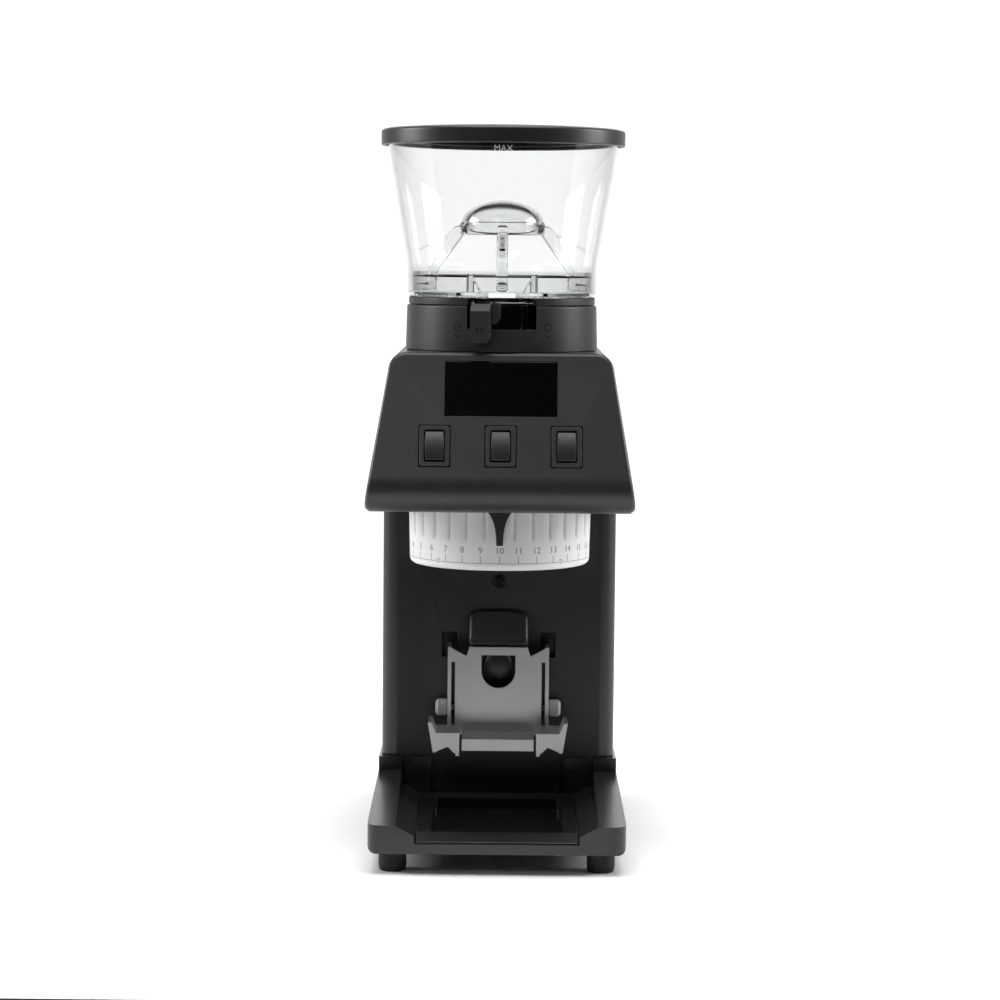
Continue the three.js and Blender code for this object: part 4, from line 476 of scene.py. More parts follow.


# The wear values lighten convex edges: part edge wear, part painted rim highlight, strongest on the base.
MAKERS = {
    # ABS from a spark-eroded mould: a fine even matt that breaks up each highlight.
    "head": lambda: finish("head_abs", looks().panel_tint, 0.4, (0.35, 0.02), wear_and_highlight=0.25),
    # Powder-coated steel: darker and a little glossier, with a soft orange peel.
    "column": lambda: finish("column_powder_coat", looks().column_tint, 0.38, (0.9, 0.008), wear_and_highlight=0.3),
    # Glass-filled nylon for the base: low sheen, faint streaks along the mould flow.
    "base": lambda: finish("base_nylon", looks().base_tint, 0.23, (0.4, 0.006), (18, 0.08), 0.04, wear_and_highlight=0.5),
    # ABS lid from a polished mould: broad satin highlights.
    "lid": lambda: finish("lid_abs", looks().lid_tint, 0.36, (0.5, 0.01), wear_and_highlight=0.3),
    # Plain black ABS trim, satin.
    "trim": lambda: finish("trim_abs", linear("#2a2a2c"), 0.42, (0.35, 0.015), wear_and_highlight=0.3),
    # Black acetal keys and lever: waxy, slightly glossier than the frame round them.
    "key": lambda: finish("key_acetal", linear("#2b2b2d"), 0.48, (0.3, 0.012), wear_and_highlight=0.4),
    # Nitrile and silicone rubber: dead matt with a dusty bloom.
    "rubber": lambda: finish("rubber", linear("#141416"), 0.72, (0.5, 0.03), (6, 0.25)),
    # The dose button's moulded silicone dome: matt with a soft highlight.
    "button": lambda: finish("button_silicone", linear("#2c2c2e"), 0.42, (0.3, 0.01), (5, 0.15)),
    # Natural polypropylene: milky, and light enters it a few millimetres.
    "ring": lambda: finish(
        "ring_polypropylene", looks().ring_tint, 0.34, (0.6, 0.01), (12, 0.04),
        Subsurface_Weight=0.12, Subsurface_Scale=0.003, Subsurface_Radius=(1.0, 1.0, 1.0), IOR=1.49,
    ),
    # Injection-moulded styrene acrylonitrile: water clear, faintly scuffed.
    "clear": lambda: finish(
        "clear_san", looks().clear_tint, 0.03, (1.5, 0.004), (30, 0.01), 0.02, Transmission_Weight=1.0, IOR=1.57
    ),
    # The same plastic with a blasted face, so that the raised mark reads white.
    "frost": lambda: finish("frosted_san", linear("#f4f5f5"), 0.55, (0.2, 0.02), (3, 0.02), IOR=1.57),
    # Black acrylic display window, polished, with a trace of wiping marks.
    "glass": lambda: finish(
        "display_acrylic", linear("#08090b"), 0.09, (3, 0.001), (20, 0.2), 0.03, IOR=1.49
    ),
    # Stainless sheet, brushed across: fine scratches run along x.
    "steel": lambda: finish(
        "brushed_stainless", looks().fork_tint, 0.36, (0.4, 0.0012), (20, 0.03), 0.04, (0.03, 1, 1), Metallic=1.0
    ),
    # Ground hard steel of burrs and shaft.
    "ground": lambda: finish(
        "ground_steel", linear("#7b7d80"), 0.32, (0.25, 0.01), (8, 0.08), 0.1, (1, 1, 0.2), Metallic=1.0
    ),
    # Turned aluminium: bright, with fine tool marks round it.
    "turned": lambda: finish(
        "turned_aluminium", linear("#b4b6b8"), 0.34, (0.4, 0.015), (10, 0.05), 0.1, (0.3, 0.3, 3), Metallic=1.0
    ),
    # Sand-cast aluminium: pebbled and duller.
    "cast": lambda: finish("cast_aluminium", linear("#a2a4a6"), 0.55, (0.9, 0.08), (9, 0.1), 0.12, Metallic=1.0),
    # Black-oxide screw: dark, with an oily sheen.
    "black_steel": lambda: finish("black_oxide", linear("#2a2a2c"), 0.35, (0.3, 0.01), (2, 0.1), Metallic=1.0),
    # Zinc-plated screws: pale with a blotchy passivation.
    "zinc": lambda: finish("zinc_plate", linear("#b2b3b0"), 0.36, (0.5, 0.01), (2.5, 0.12), 0.1, Metallic=1.0),
    # Pressed steel chassis and motor can, electro-plated.
    "plated": lambda: finish("plated_steel", linear("#8c8e90"), 0.4, (0.8, 0.01), (12, 0.1), 0.08, Metallic=1.0),
    # Acetal rollers, natural: warm pale grey and waxy.
    "roller": lambda: finish(
        "roller_acetal", linear("#a3a19e"), 0.35, (0.5, 0.01), (6, 0.05),
        Subsurface_Weight=0.1, Subsurface_Scale=0.001,
    ),
    # Epoxy board under green solder mask, with copper lines just showing.
    "board": lambda: finish("solder_mask", linear("#1f5a3a"), 0.4, (1.2, 0.05), (3, 0.3), 0.15, (1, 6, 1)),
    # Dark print and moulded marks.
    "ink": lambda: finish("mark_ink", linear("#060607"), 0.8, (0.2, 0.004), (2, 0.1)),
    # Grey print on the adjusting ring's scale.
    "scale": lambda: finish("scale_ink", linear("#858587"), 0.5, (0.2, 0.004), (2, 0.15)),
}
made_materials = {}


def material(kind):
    if kind not in made_materials:
        made_materials[kind] = MAKERS[kind]()
    return made_materials[kind]


# ---------- Pieces ----------


class GrinderOperator:
    bl_options = {"REGISTER", "UNDO"}

    def execute(self, context):
        self.make()
        return {"FINISHED"}


class GRINDER_OT_lid(GrinderOperator, bpy.types.Operator):
    """Turns the hopper lid and gives its seal a rubber finish"""

    bl_idname = "grinder.lid"
    bl_label = "Lid"

    def make(self):
        low, high = span("lid")
        radius, top, skirt = high.x, high.z, low.z
        plug, plug_foot, wall = 48, span("hopper")[1].z - 0.6, 2
        profile = rounded([
            (0, top - 3.6), (plug - wall, top - 3.6), (plug - wall, plug_foot, 0.3), (plug, plug_foot, 0.4),
            (plug, top - 4.2, 0.5), (radius - wall, top - 4.6, 0.5), (radius - wall, skirt, 0.3),
            (radius, skirt, 0.8), (radius, top - 2.2, 1.5), (radius - 3.2, top - 1.4, 2.5),
            (radius - 14, top - 0.7, 8), (0, top),
        ], 5)
        piece(lathe(profile, 128), "hopper_lid", "lid_unit", ["lid"], material("lid"), 0)
        dress(material("rubber"), "lid_seal")


class GRINDER_OT_hopper(GrinderOperator, bpy.types.Operator):
    """Turns the clear hopper with its feed holes and level mark, and the ring under it"""

    bl_idname = "grinder.hopper"
    bl_label = "Hopper"

    def make(self):
        low, high = span("hopper")
        ring_low, ring_high = span("hopper_base_ring")
        plate_low = span("shutter_plate")[0]
        floor = ring_high.z + CLEARANCE
        floor_top, mouth = floor + HOPPER_FLOOR, high.x

        def wall(z):
            return WAIST + (mouth - WAIST) * max(0, (z - WAIST_TOP) / (high.z - WAIST_TOP))

        outside = [(wall(z), z) for z in (299, 303, 330)] + [(mouth, high.z - 0.4), (mouth - 0.4, high.z)]
        inside = [(r - HOPPER_WALL, z) for r, z in reversed(outside[:-1])]
        inside[0] = (inside[0][0], high.z)
        bowl = lathe([
            (0, floor), (SPIGOT - HOPPER_WALL, floor), (SPIGOT - HOPPER_WALL, low.z), (SPIGOT, low.z),
            (SPIGOT, floor), (WAIST, floor), *outside, *inside, (WAIST - HOPPER_WALL, floor_top), (0, floor_top),
        ], 128)
        half = math.asin(NOTCH_HALF / NECK_RADIUS)
        slot = sector(SPIGOT - 4.2, SPIGOT + 1, 0, half - math.radians(2), plate_low.z - 1, floor)
        rib = box(-1.3, 1.3, -SPIGOT + 1.5, -SPIGOT + 4.5, low.z, plate_low.z - 1.2)
        turned(rib, math.radians(16.5))
        bowl = joined(cut(bowl, slot, *feed_holes(floor - 1, floor + 4, 0, 6)), rib)
        piece(bowl, "clear_hopper", "hopper_unit", ["hopper"], material("clear"), 0.3)
        level = figure(lettering("MAX", 3.2, 0, high.z - 6.6), round_the_axis(wall), -0.05, 0.25)
        piece(level, "level_mark", "hopper_unit", [], material("frost"), 0)
        outer = ring_high.x
        ring = lathe(rounded([
            (SPIGOT + CLEARANCE, ring_low.z), (outer, ring_low.z, 0.5), (outer, ring_high.z, 0.6),
            (SPIGOT + CLEARANCE, ring_high.z),
        ], 3), 128)
        gap = sector(38, 54, 0, half, ring_low.z - 1, ring_high.z + 1)
        ring = cut(ring, gap)
        piece(ring, "hopper_ring", "hopper_unit", ["hopper_base_ring"], material("trim"), 0.2)


def feed_holes(z0, z1, turn, steps=8):
    """The six holes that the beans fall through, in the hopper's floor and in the shutter."""
    return [sector(16, 38, (i + 0.5) * math.pi / 3 + turn, math.radians(11), z0, z1, steps) for i in range(6)]


class GRINDER_OT_guard(GrinderOperator, bpy.types.Operator):
    """Builds the clear dome on four legs that keeps the beans off the shutter"""

    bl_idname = "grinder.guard"
    bl_label = "Bean guard"

    def make(self):
        low, high = span("bean_guard")
        radius, base, rim, foot = 22, 322.5, 316.3, high.x
        steps = [k * math.pi / 28 for k in range(14)]
        dome = [((radius - 0.9) * math.cos(t), base + 0.5 + (high.z - base - 0.5) * math.sin(t)) for t in steps]
        hollow = [((radius - 4) * math.cos(t), base + (high.z - base - 3) * math.sin(t)) for t in steps]
        cap = lathe([
            (0, high.z - 3), *hollow[::-1], (radius - 4, base), (radius - 2.6, rim), (radius, rim + 0.6),
            (radius, base + 0.1), *dome, (0, high.z),
        ], 96)
        ring = lathe([
            (foot - 1.8, low.z), (foot, low.z), (foot, 297.4), (foot - 3.4, 297.4), (foot - 3.4, 295.4),
            (foot - 1.8, 294.6),
        ], 96)
        legs = []
        for i in range(4):
            strut = [
                (19.6, 317), (19.6, 321.8), (25.2, 320.4), (38.6, 297.5), (38.6, 291.4), (45.4, 291), (45.4, 287.6),
                (34, 287.6), (33.6, 297),
            ]
            fin = [(22.6, 319.8), (43.5, 309.2), (43.5, 308), (22.6, 318.4)]
            wide = 2.8 if i % 2 == 0 else 2.2
            rod = bevelled(prism("x", [(-r, z) for r, z in strut], -wide, wide), 1.3, lambda a, b: True, 4)
            plate = bevelled(prism("x", [(-r, z) for r, z in fin], -1.5, 1.5), 0.4, lambda a, b: True, 2)
            legs += [turned(rod, i * math.pi / 2), turned(plate, i * math.pi / 2)]
        for side in (-1, 1):
            rib = box(-0.9, 0.9, -foot + 0.4, -foot + 7, low.z, 296.3)
            legs.append(turned(rib, side * math.asin(17.3 / foot)))
            brace_foot = low.z + 0.3
            brace = [(15.8, 295.8), (11.3, brace_foot), (10.2, brace_foot), (14.6, 295.8)]
            brace = [(side * x, z) for x, z in brace]
            legs.append(prism("y", brace, -foot + 2.5, -foot + 9))
        shape = joined(cap, ring, *legs)
        piece(shape, "guard", "hopper_unit", ["bean_guard"], material("clear"), 0)


class GRINDER_OT_shutter(GrinderOperator, bpy.types.Operator):
    """Builds the clear shutter plate and its black lever"""

    bl_idname = "grinder.shutter"
    bl_label = "Shutter"

    def make(self):
        low, high = span("shutter_plate")
        lever_low, lever_high = span("shutter_lever")
        radius = high.x
        plate = lathe([(0, low.z), (radius, low.z), (radius, high.z), (0, high.z)], 96)
        arm = turned(box(-3.5, 3.5, -49.5, -radius + 3, low.z, high.z), SHUTTER_REST)
        plate = cut(joined(plate, arm), *feed_holes(low.z - 1, high.z + 1, 2 * SHUTTER_REST))
        piece(plate, "shutter", "shutter", ["shutter_plate"], material("clear"), 0.2)
        front, back = LEVER_FACES
        bottom, top = lever_low.z, lever_high.z
        side = rounded([
            (front, bottom, 0.8), (back, bottom, 0.5), (back, top, 0.3), (back - 2.2, top, 0.4),
            (front, top - 3.6, 0.6),
        ], 3)
        elevation = rounded([
            (-LEVER_HALF, bottom + 2.4, 0.6), (-3.2, bottom, 0.6), (3.2, bottom, 0.6),
            (LEVER_HALF, bottom + 2.4, 0.6), (LEVER_HALF, top, 0.5), (-LEVER_HALF, top, 0.5),
        ], 3)
        tab = common(prism("x", side, -LEVER_HALF, LEVER_HALF), prism("y", elevation, front - 1, back + 1))
        flag = rounded([(3, top - 11), (7.5, top - 10, 1), (9.6, top - 7, 1), (9.6, top, 0.5), (3, top)], 3)
        web = prism("y", flag, back - 1.6, back)
        root = box(-4, 4, back - 1, -44.5, top - 4, top)
        lever = turned(joined(tab, web, root), SHUTTER_REST)
        piece(lever, "lever", "shutter", ["shutter_lever"], material("key"), 0.3)
        arrow = [(0.4, 270.2), (2.6, 268.4), (0.4, 266.6)]
        arrows = [[Vector((side * x, z)) for x, z in arrow] for side in (-1, 1)]
        mark = figure(arrows, lambda x, y, h: (x, front - h, y), -0.1, 0.05)
        piece(turned(mark, SHUTTER_REST), "lever_mark", "shutter", [], material("ink"), 0)


class GRINDER_OT_neck(GrinderOperator, bpy.types.Operator):
    """Turns the neck collar with its lever notch and open and shut marks"""

    bl_idname = "grinder.neck"
    bl_label = "Neck"

    def make(self):
        low, high = span("neck_collar")
        foot, top = high.x, high.z

        def skin(z):
            return foot - 0.65 * (z - low.z) / (top - low.z)

        profile = rounded([(NECK_BORE, low.z), (foot, low.z, 0.3), (skin(top), top, 1.0), (NECK_BORE, top)], 4)
        ring = lathe(profile, 128)
        notch = prism("y", rounded([
            (-NOTCH_HALF, NOTCH_FLOOR, 1.2), (NOTCH_HALF, NOTCH_FLOOR, 1.2), (NOTCH_HALF, top + 2),
            (-NOTCH_HALF, top + 2),
        ], 5), -foot - 4, -NECK_BORE + 8)
        piece(cut(ring, notch), "neck", "body", ["neck_collar"], material("head"), 0.4)
        shut = circle(-23, 269.6, 1.9, 0.6) + stroke([(-24.2, 268.4), (-21.8, 270.8)], 0.6)
        opened = circle(24.3, 269.6, 1.9, 0.6)
        below = stroke([(-24.4, 265.4), (-21.6, 264.4)], 0.4) + stroke([(-24.4, 264.4), (-21.6, 265.4)], 0.4)
        below += [[Vector((23, 265.4)), Vector((25.8, 265.4)), Vector((24.4, 263.9))]]
        marks = figure(shut + opened + below, round_the_axis(skin), -0.1, 0.05)
        piece(marks, "neck_marks", "body", [], material("ink"), 0)


class GRINDER_OT_head(GrinderOperator, bpy.types.Operator):
    """Builds the leaning control panel, the display window and the head behind them"""

    bl_idname = "grinder.head"
    bl_label = "Head"

    def make(self):
        low, high = span("control_panel")
        skin = common(
            prism("x", front_line(0, low.z, high.z) + front_line(PANEL_THICK, low.z, high.z)[::-1], -90, 90),
            prism("y", head_outline(low.z, high.z), -200, 20),
        )
        skin = bevelled(skin, mm("panel_edge"), lambda a, b: max(face_depth(a), face_depth(b)) < FLUSH)
        holes = [opening(WINDOW, CLEARANCE, 0.8, 0, WINDOW_UP)]
        holes += [opening(SWITCH, OPENING_CLEARANCE, 1.0, x, SWITCH_UP) for x in SWITCH_X.values()]
        piece(cut(skin, *holes), "panel", "body", ["control_panel"], material("head"), 0.15)
        piece(from_cad("head_shell"), "head", "body", ["head_shell"], material("head"), 0.4)
        window = on_face(prism("z", rectangle(0, 0, *WINDOW, 0.6, 3), -2.2, -0.2), 0, WINDOW_UP)
        piece(window, "window", "body", ["display_window"], material("glass"), 0.2)


def opening(size, gap, radius, x, up):
    """The tool for a hole in the panel, for a piece of this size with a gap all round."""
    width, height = size
    return on_face(prism("z", rectangle(0, 0, width + 2 * gap, height + 2 * gap, radius, 3), -8, 4), x, up)


def front_line(depth, bottom, top, steps=16):
    """The head's front line in y and z, from its top to its underside, at a depth below its surface."""
    foot_y, foot_z = FACE_FOOT
    centre = (foot_y + FACE_CURVE * math.cos(FACE_TILT), foot_z - FACE_CURVE * math.sin(FACE_TILT))
    upper = foot_y + (top - foot_z) * math.tan(FACE_TILT) + depth / math.cos(FACE_TILT)
    angles = [math.pi - FACE_TILT + (math.pi / 2 + FACE_TILT) * k / steps for k in range(steps + 1)]
    radius = FACE_CURVE - depth
    arc = [(centre[0] + radius * math.cos(a), centre[1] + radius * math.sin(a)) for a in angles]
    return [(upper, top), *arc]


def face_depth(point):
    """How deep a point lies below the head's front surface."""
    y, z = point.y - FACE_FOOT[0], point.z - FACE_FOOT[1]
    if y * math.sin(FACE_TILT) + z * math.cos(FACE_TILT) >= 0:
        return y * math.cos(FACE_TILT) - z * math.sin(FACE_TILT)
    return FACE_CURVE - math.hypot(y - FACE_CURVE * math.cos(FACE_TILT), z + FACE_CURVE * math.sin(FACE_TILT))


def head_outline(bottom, top):
    low, high = HEAD_HALF_WIDTHS
    return rounded([(-low, bottom, 3.5), (low, bottom, 3.5), (high, top, 9), (-high, top, 9)], 8)


def on_face(shape, x, up):
    """Lays a shape on the head's front: its y goes up the face and its z out of it."""
    across, along = Vector((1, 0, 0)), Vector((0, math.sin(FACE_TILT), math.cos(FACE_TILT)))
    out = across.cross(along)
    matrix = Matrix((across, along, out)).transposed().to_4x4()
    matrix.translation = Vector((x, *FACE_FOOT)) + up * along
    return moved(shape, matrix)


class GRINDER_OT_switches(GrinderOperator, bpy.types.Operator):
    """Builds the three rocker switches in the panel, and finishes the mains switch"""

    bl_idname = "grinder.switches"
    bl_label = "Switches"

    def make(self):
        for place, x in SWITCH_X.items():
            flange = prism("z", rectangle(0, 0, *SWITCH, 1.0, 3), -PANEL_THICK, 0.25)
            core = box(-6.5, 6.5, -9.5, 9.5, -16, -PANEL_THICK)
            pocket = prism("z", rectangle(0, 0, 10.1, 16.6, 0.8, 3), -9, 2)
            bezel = on_face(cut(joined(flange, core), pocket), x, SWITCH_UP)
            nodes = [f"switch_bezel_{place}"]
            piece(bezel, f"bezel_{place}", "body", nodes, material("trim"), 0.25)
            rows = [PADDLE_HALF * (1 - k / 8) for k in range(17)]
            crown = [(y, 2.3 - 1.7 * (y / PADDLE_HALF) ** 2) for y in rows]
            paddle = edit(prism("x", [(-6, -6), (6, -6), *crown], -4.75, 4.75), waisted)
            paddle = on_face(bevelled(paddle, 0.5, lambda a, b: min(a.z, b.z) > -1, 3), x, SWITCH_UP)
            nodes = [f"switch_rocker_{place}"]
            piece(paddle, f"rocker_{place}", f"rocker_{place}", nodes, material("key"), 0)
        bezel, rocker = from_cad("power_switch_bezel"), from_cad("power_switch_rocker")
        piece(bezel, "mains_bezel", "body", ["power_switch_bezel"], material("trim"), 0.2)
        piece(rocker, "mains_rocker", "mains_rocker", ["power_switch_rocker"], material("key"), 0.3)


def waisted(bm):
    """Draws a paddle in a little towards its ends."""
    for vert in bm.verts:
        vert.co.x *= 1 - 0.05 * (vert.co.y / PADDLE_HALF) ** 2


class GRINDER_OT_ring(GrinderOperator, bpy.types.Operator):
    """Turns the fluted adjusting ring with its numbered scale, and the pointer over it"""

    bl_idname = "grinder.ring"
    bl_label = "Adjusting ring"

    def make(self):
        low, high = span("adjusting_ring")
        bore, top = RING_BORE, high.x
        foot = top - 0.75
        depth, fade_low, fade_high = mm("flute_depth"), low.z + 14.2, low.z + 18
        grooves = [math.radians(9) + DIAL_STEP * k for k in range(15)]

        def skin(z):
            return foot + (top - foot) * (z - low.z) / (high.z - low.z)

        def fluted(r, angle, z):
            if r < bore + 3 or z < fade_low:
                return r
            around = abs((angle + math.pi) % (2 * math.pi) - math.pi)
            near = min(abs(around - g) for g in grooves) / (DIAL_STEP / 2)
            fade = min(1, (z - fade_low) / (fade_high - fade_low))
            return r - depth * fade * (0.75 * max(0, 1 - near * 5) + 0.25 * (1 - min(1, near)))

        heights = [low.z + h for h in (3.2, 7, 11, 14.2, 15.2, 16.2, 17.2, 18, 24, 30, 36)]
        corner = [(foot - r, low.z + h) for r, h in ((3.2, 0), (1.7, 0.35), (0.7, 1.1), (0.15, 2.1))]
        profile = [(bore, low.z), *corner, *[(skin(z), z) for z in heights], (top - 0.5, high.z), (bore, high.z)]
        shape = lathe(profile, 360, radius=fluted)
        piece(shape, "grind_ring", "adjuster", ["adjusting_ring"], material("ring"), 0)
        pitch = DIAL_STEP * foot
        marks = []
        for number in range(30):
            x = (number - 10) * pitch
            marks += lettering(str(number), mm("digit_height"), x, low.z + 9)
            marks += stroke([(x, low.z + 4.0), (x, low.z + 7.6)], 0.3)
            beans = number in (6, 13, 21, 28)
            ends = [(0, 0.3), (0.7, 1)] if beans else [(0, 1)]
            for a, b in ends:
                steps = [x + pitch * (a + (b - a) * k / 4) for k in range(5)]
                marks += stroke([(s, low.z + 3.9) for s in steps], 0.25)
            if beans:
                middle = x + pitch / 2
                oval = [(middle + 1.3 * math.cos(t), low.z + 4.3 + 1.0 * math.sin(t)) for t in turns(14)]
                crease = [(middle - 0.5, low.z + 3.6), (middle + 0.5, low.z + 5)]
                marks += stroke(oval, 0.25, True) + stroke(crease, 0.25)
        scale = figure(marks, round_the_axis(skin), -0.1, 0.04)
        piece(scale, "ring_scale", "adjuster", [], material("scale"), 0)
        p_low, p_high = span("grind_pointer")
        length = p_high.z - p_low.z
        half = [(6.2, 0), (4.6, 0.14), (3.2, 0.32), (2.4, 0.5), (1.9, 0.7), (1.7, 1)]
        right = [(x, p_high.z - length * t) for x, t in half]
        pointer = prism("y", right + [(-x, z) for x, z in reversed(right)], p_low.y, p_high.y)
        piece(pointer, "pointer", "body", ["grind_pointer"], material("trim"), 0.3)


class GRINDER_OT_column(GrinderOperator, bpy.types.Operator):
    """Finishes the column, its rear cover, sockets and screws, and builds the visor over the button"""

    bl_idname = "grinder.column"
    bl_label = "Column"

    def make(self):
        piece(from_cad("column_shell"), "column", "body", ["column_shell"], material("column"), 0.4)
        piece(from_cad("rear_cover"), "back_cover", "body", ["rear_cover"], material("column"), 0.3)
        piece(from_cad("mains_inlet"), "inlet", "body", ["mains_inlet"], material("trim"), 0.3)
        corner = span("button_visor")[1]
        visor = bevelled(from_cad("button_visor"), 2.2, lambda a, b: visor_edge(a, b, corner), 6)
        piece(visor, "visor", "body", ["button_visor"], material("column"), 0.4)
        for side in ("left", "right"):
            socket = from_cad(f"hook_socket_{side}")
            piece(socket, f"socket_{side}", "body", [f"hook_socket_{side}"], material("trim"), 0.2)
        for name in ("cover_screw_1", "cover_screw_2", "cover_screw_3", "cover_screw_4", "front_screw"):
            low, high = span(name)
            inward = 1 if name == "front_screw" else -1
            face = low.y if inward > 0 else high.y
            centre = ((low.x + high.x) / 2, 0, (low.z + high.z) / 2)
            head = (high.x - low.x) / 2
            profile = [
                (0, 0), (head * 0.75, 0.15), (head, 0.7), (head, 1.3), (head / 2, 1.3), (head / 2, 7), (0, 7),
            ]
            screw = lathe([(r, face + inward * depth) for r, depth in profile], 32, "y", centre)
            arms = [box(-a, a, face - 0.5, face + 0.5, -b, b) for a, b in ((0.35, head * 0.6), (head * 0.6, 0.35))]
            for arm in arms:
                moved(arm, Matrix.Translation((centre[0], inward * 0.15, centre[2])))
            slot, kind = ("front_screw_steel", "black_steel") if inward > 0 else ("cover_screw_zinc", "zinc")
            piece(cut(screw, *arms), f"screw_{name}", "body", [name], material(kind), 0)


def visor_edge(a, b, high):
    """Whether an edge is one of the visor's outer edges in front, where high is its highest corner."""
    outer = min(abs(a.x), abs(b.x)) > high.x - 0.1 or min(a.z, b.z) > high.z - 5
    return outer and min(a.y, b.y) < high.y - 3 and max(abs(a.x), abs(b.x)) > high.x - 3


class GRINDER_OT_button(GrinderOperator, bpy.types.Operator):
    """Turns the dose button and the ring round it"""

    bl_idname = "grinder.button"
    bl_label = "Dose button"

    def make(self):
        low, high = span("dose_button")
        ring_low, ring_high = span("button_ring")
        centre = (0, 0, (ring_low.z + ring_high.z) / 2)
        radius, flange, seat, rise = BUTTON_RADIUS, high.x, ring_high.y, 2.6
        steps = [k * math.pi / 20 for k in range(11)]
        dome = [(radius * math.sin(t), low.y + rise - rise * math.cos(t)) for t in steps]
        cap = lathe([
            *dome, (radius, seat + 1.0), (flange, seat + 1.2), (flange, seat + 2.8), (5, seat + 2.8), (5, high.y),
            (0, high.y),
        ], 64, "y", centre)
        piece(cap, "button", "button", ["dose_button"], material("button"), 0.3)
        outer = ring_high.x
        ring = lathe(rounded([
            (radius + 0.4, seat), (radius + 0.4, ring_low.y, 0.3), (outer, ring_low.y, 0.6), (outer, seat),
        ], 4), 72, "y", centre)
        piece(ring, "ring_round_button", "body", ["button_ring"], material("trim"), 0)


class GRINDER_OT_fork(GrinderOperator, bpy.types.Operator):
    """Rounds the edges of the sheet steel fork and turns its rollers"""

    bl_idname = "grinder.fork"
    bl_label = "Fork"

    def make(self):
        piece(from_cad("fork"), "steel_fork", "fork_unit", ["fork"], material("steel"), mm("bend"), 3)
        for side in ("left", "right"):
            name = f"fork_roller_{side}"
            low, high = span(name)
            sign = -1 if side == "left" else 1
            inner, outer = (low.x, high.x) if sign > 0 else (-high.x, -low.x)
            start = outer - ROLLER_LENGTH
            radius = (high.z - low.z) / 2
            profile = rounded([
                (0, inner), (1.5, inner), (1.5, start), (radius - 0.6, start, 0.3), (radius, start + 0.8, 0.3),
                (radius, outer - 1.2, 0.6), (radius - 1.6, outer, 0.5), (2, outer, 0.3), (1.7, outer - 0.5, 0.2),
                (0, outer - 0.5),
            ], 3)
            centre = (0, (low.y + high.y) / 2, (low.z + high.z) / 2)
            roller = lathe([(r, sign * x) for r, x in profile], 48, "x", centre)
            piece(roller, f"roller_{side}", "fork_unit", [name], material("roller"), 0)


class GRINDER_OT_base(GrinderOperator, bpy.types.Operator):
    """Finishes the base, its grounds tray and its four feet"""

    bl_idname = "grinder.base"
    bl_label = "Base"

    def make(self):
        piece(from_cad("base_plate"), "base", "body", ["base_plate"], material("base"), 0.9, 4)
        piece(from_cad("grounds_tray"), "tray", "tray", ["grounds_tray"], material("base"), 0.5)
        for end in ("front", "back"):
            for side in ("left", "right"):
                name = f"foot_{end}_{side}"
                low, high = span(name)
                centre = ((low.x + high.x) / 2, (low.y + high.y) / 2, 0)
                stem, stem_length = FOOT_STEM
                radius, seat = (high.x - low.x) / 2, high.z - stem_length
                profile = rounded([
                    (0, 0.6), (radius - 3, 0.6, 0.4), (radius - 2.2, 0, 0.4), (radius - 0.6, 0, 0.6),
                    (radius, 3, 1.5),
                    (radius, seat, 0.4), (stem, seat, 0.2), (stem, high.z, 0.3), (0, high.z),
                ], 4)
                foot = lathe(profile, 56, "z", centre)
                piece(foot, f"pad_{end}_{side}", "body", [name], material("rubber"), 0)


class GRINDER_OT_inner(GrinderOperator, bpy.types.Operator):
    """Gives the works inside the case their real finishes"""

    bl_idname = "grinder.inner"
    bl_label = "Inner parts"

    def make(self):
        dress(material("ground"), "motor_shaft", "spindle_bearing", "upper_burr", "lower_burr")
        dress(material("cast"), "spindle", "burr_barrel", "burr_carrier")
        dress(material("turned"), "motor_pulley", "driven_pulley")
        dress(material("plated"), "chassis", "motor")
        dress(material("board"), "power_board", "display_board")
        dress(material("rubber"), "drive_belt")
        dress(material("trim"), "bean_funnel", "microswitch")


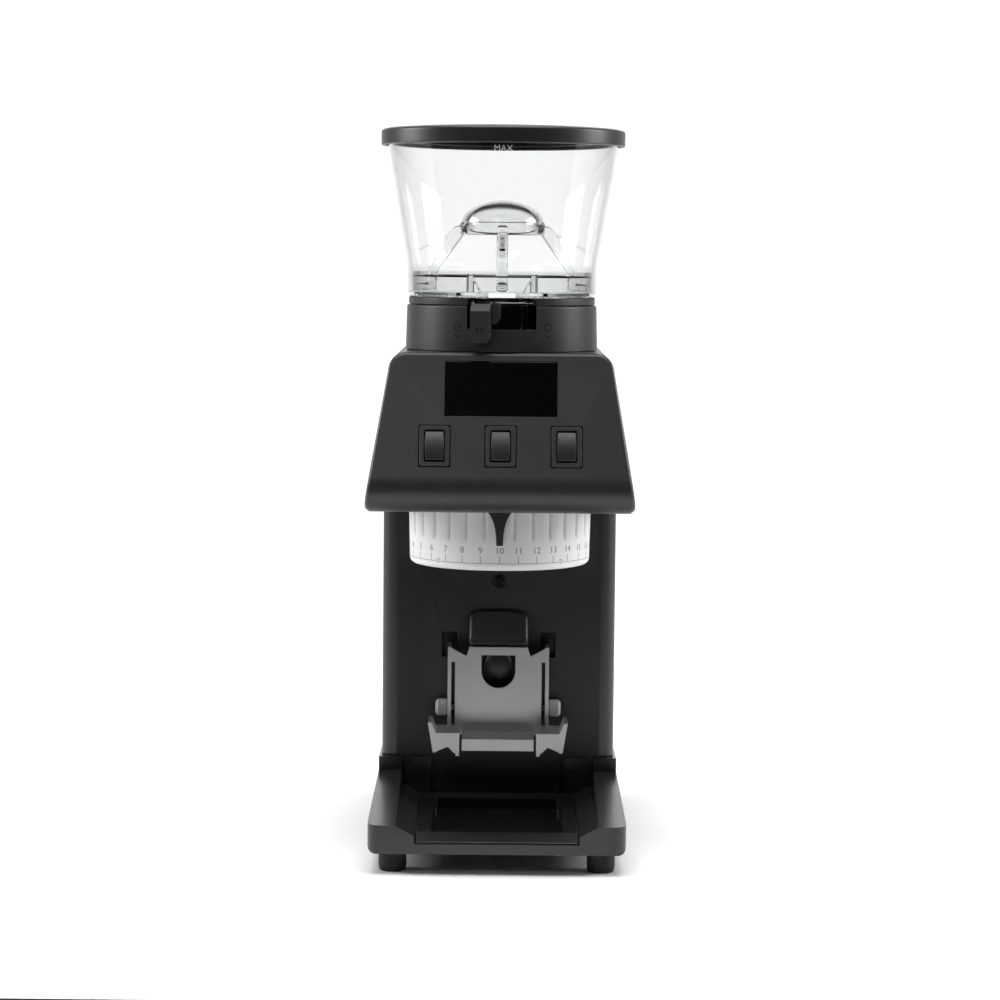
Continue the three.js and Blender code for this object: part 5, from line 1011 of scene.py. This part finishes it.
class GRINDER_OT_stage(GrinderOperator, bpy.types.Operator):
    """Lays the pale floor, and sets up the soft light and the camera"""

    bl_idname = "grinder.stage"
    bl_label = "Stage"

    def make(self):
        scene = bpy.context.scene
        scene.view_settings.view_transform = "Standard"
        sheet = bpy.data.meshes.new("floor")
        profile = [(-0.37, 0.0), (1.6, 0.0), (2.2, 0.1), (2.6, 0.4), (2.8, 1.0), (2.8, 4.0)]
        sheet.from_pydata(
            [(x, y, z) for y, z in profile for x in (-5, 5)], [],
            [(2 * i, 2 * i + 1, 2 * i + 3, 2 * i + 2) for i in range(len(profile) - 1)],
        )
        floor = bpy.data.objects.new("floor", sheet)
        scene.collection.objects.link(floor)
        for face in sheet.polygons:
            face.use_smooth = True
        sheet.materials.append(finish("floor_paper", linear("#fcfcfc"), 0.8, (0.5, 0.01), (300, 0.01)))
        world = bpy.data.worlds.new("studio")
        world.use_nodes = True
        sky = world.node_tree
        direction = add(sky, "ShaderNodeTexCoord").outputs["Generated"]
        bright_side = {0: direction, 1: (0.0, 0.85, 0.5)}
        split = add(sky, "ShaderNodeVectorMath", {"operation": "DOT_PRODUCT"}, bright_side).outputs["Value"]
        share = add(sky, "ShaderNodeMapRange", {}, {0: split, 1: -0.4, 2: 0.5, 3: 0.2, 4: 0.9}).outputs[0]
        sky.links.new(share, sky.nodes["Background"].inputs["Strength"])
        scene.world = world
        lamp("top_light", (0, -0.15, 1.9), 1.5, 38)
        lamp("left_light", (-1.3, 0.1, 0.7), 0.6, 12)
        lamp("right_light", (1.3, 0.1, 0.7), 0.6, 12)
        lamp("front_light", (-0.5, -1.6, 1.3), 0.6, 3)
        lamp("back_light", (0, 2.0, 1.8), 2.4, 31, (0, 2.8, 0.6))
        camera = bpy.data.cameras.new("camera")
        camera.sensor_width, camera.lens = 36, 108
        view = bpy.data.objects.new("camera", camera)
        scene.collection.objects.link(view)
        distance, eye_height, pitch, roll = 1.56, 0.3079, math.radians(-4.74), math.radians(0.55)
        view.matrix_world = (
            Matrix.Translation((0, AXIS.y - distance, eye_height))
            @ Matrix.Rotation(math.pi / 2 + pitch, 4, "X")
            @ Matrix.Rotation(roll, 4, "Z")
        )
        scene.camera = view


def lamp(name, place, width, power, target=(0, 0, 0.2)):
    light = bpy.data.lights.new(name, "AREA")
    light.shape, light.size, light.energy = "SQUARE", width, power
    lamp_object = bpy.data.objects.new(name, light)
    bpy.context.scene.collection.objects.link(lamp_object)
    toward = Vector(target) - Vector(place)
    lamp_object.matrix_world = Matrix.Translation(place) @ toward.to_track_quat("-Z", "Y").to_matrix().to_4x4()


STEPS = (
    GRINDER_OT_lid, GRINDER_OT_hopper, GRINDER_OT_guard, GRINDER_OT_shutter, GRINDER_OT_neck, GRINDER_OT_head,
    GRINDER_OT_switches, GRINDER_OT_ring, GRINDER_OT_column, GRINDER_OT_button, GRINDER_OT_fork, GRINDER_OT_base,
    GRINDER_OT_inner, GRINDER_OT_stage,
)


class GRINDER_PT_panel(bpy.types.Panel):
    """Lists the pieces and their settings"""

    bl_idname = "GRINDER_PT_panel"
    bl_label = "Coffee grinder"
    bl_space_type = "VIEW_3D"
    bl_region_type = "UI"
    bl_category = "Grinder"

    def draw(self, context):
        for name in GrinderLooks.__annotations__:
            self.layout.prop(context.scene.coffee_grinder, name)
        for step in STEPS:
            self.layout.operator(step.bl_idname)


def register():
    for cls in (GrinderLooks, *STEPS, GRINDER_PT_panel):
        bpy.utils.register_class(cls)
    bpy.types.Scene.coffee_grinder = bpy.props.PointerProperty(type=GrinderLooks)


def unregister():
    del bpy.types.Scene.coffee_grinder
    for cls in reversed((GrinderLooks, *STEPS, GRINDER_PT_panel)):
        bpy.utils.unregister_class(cls)


def main():
    register()
    for step in STEPS:
        group, name = step.bl_idname.split(".")
        getattr(getattr(bpy.ops, group), name)()
    bpy.context.view_layer.update()


if __name__ == "__main__":
    main()
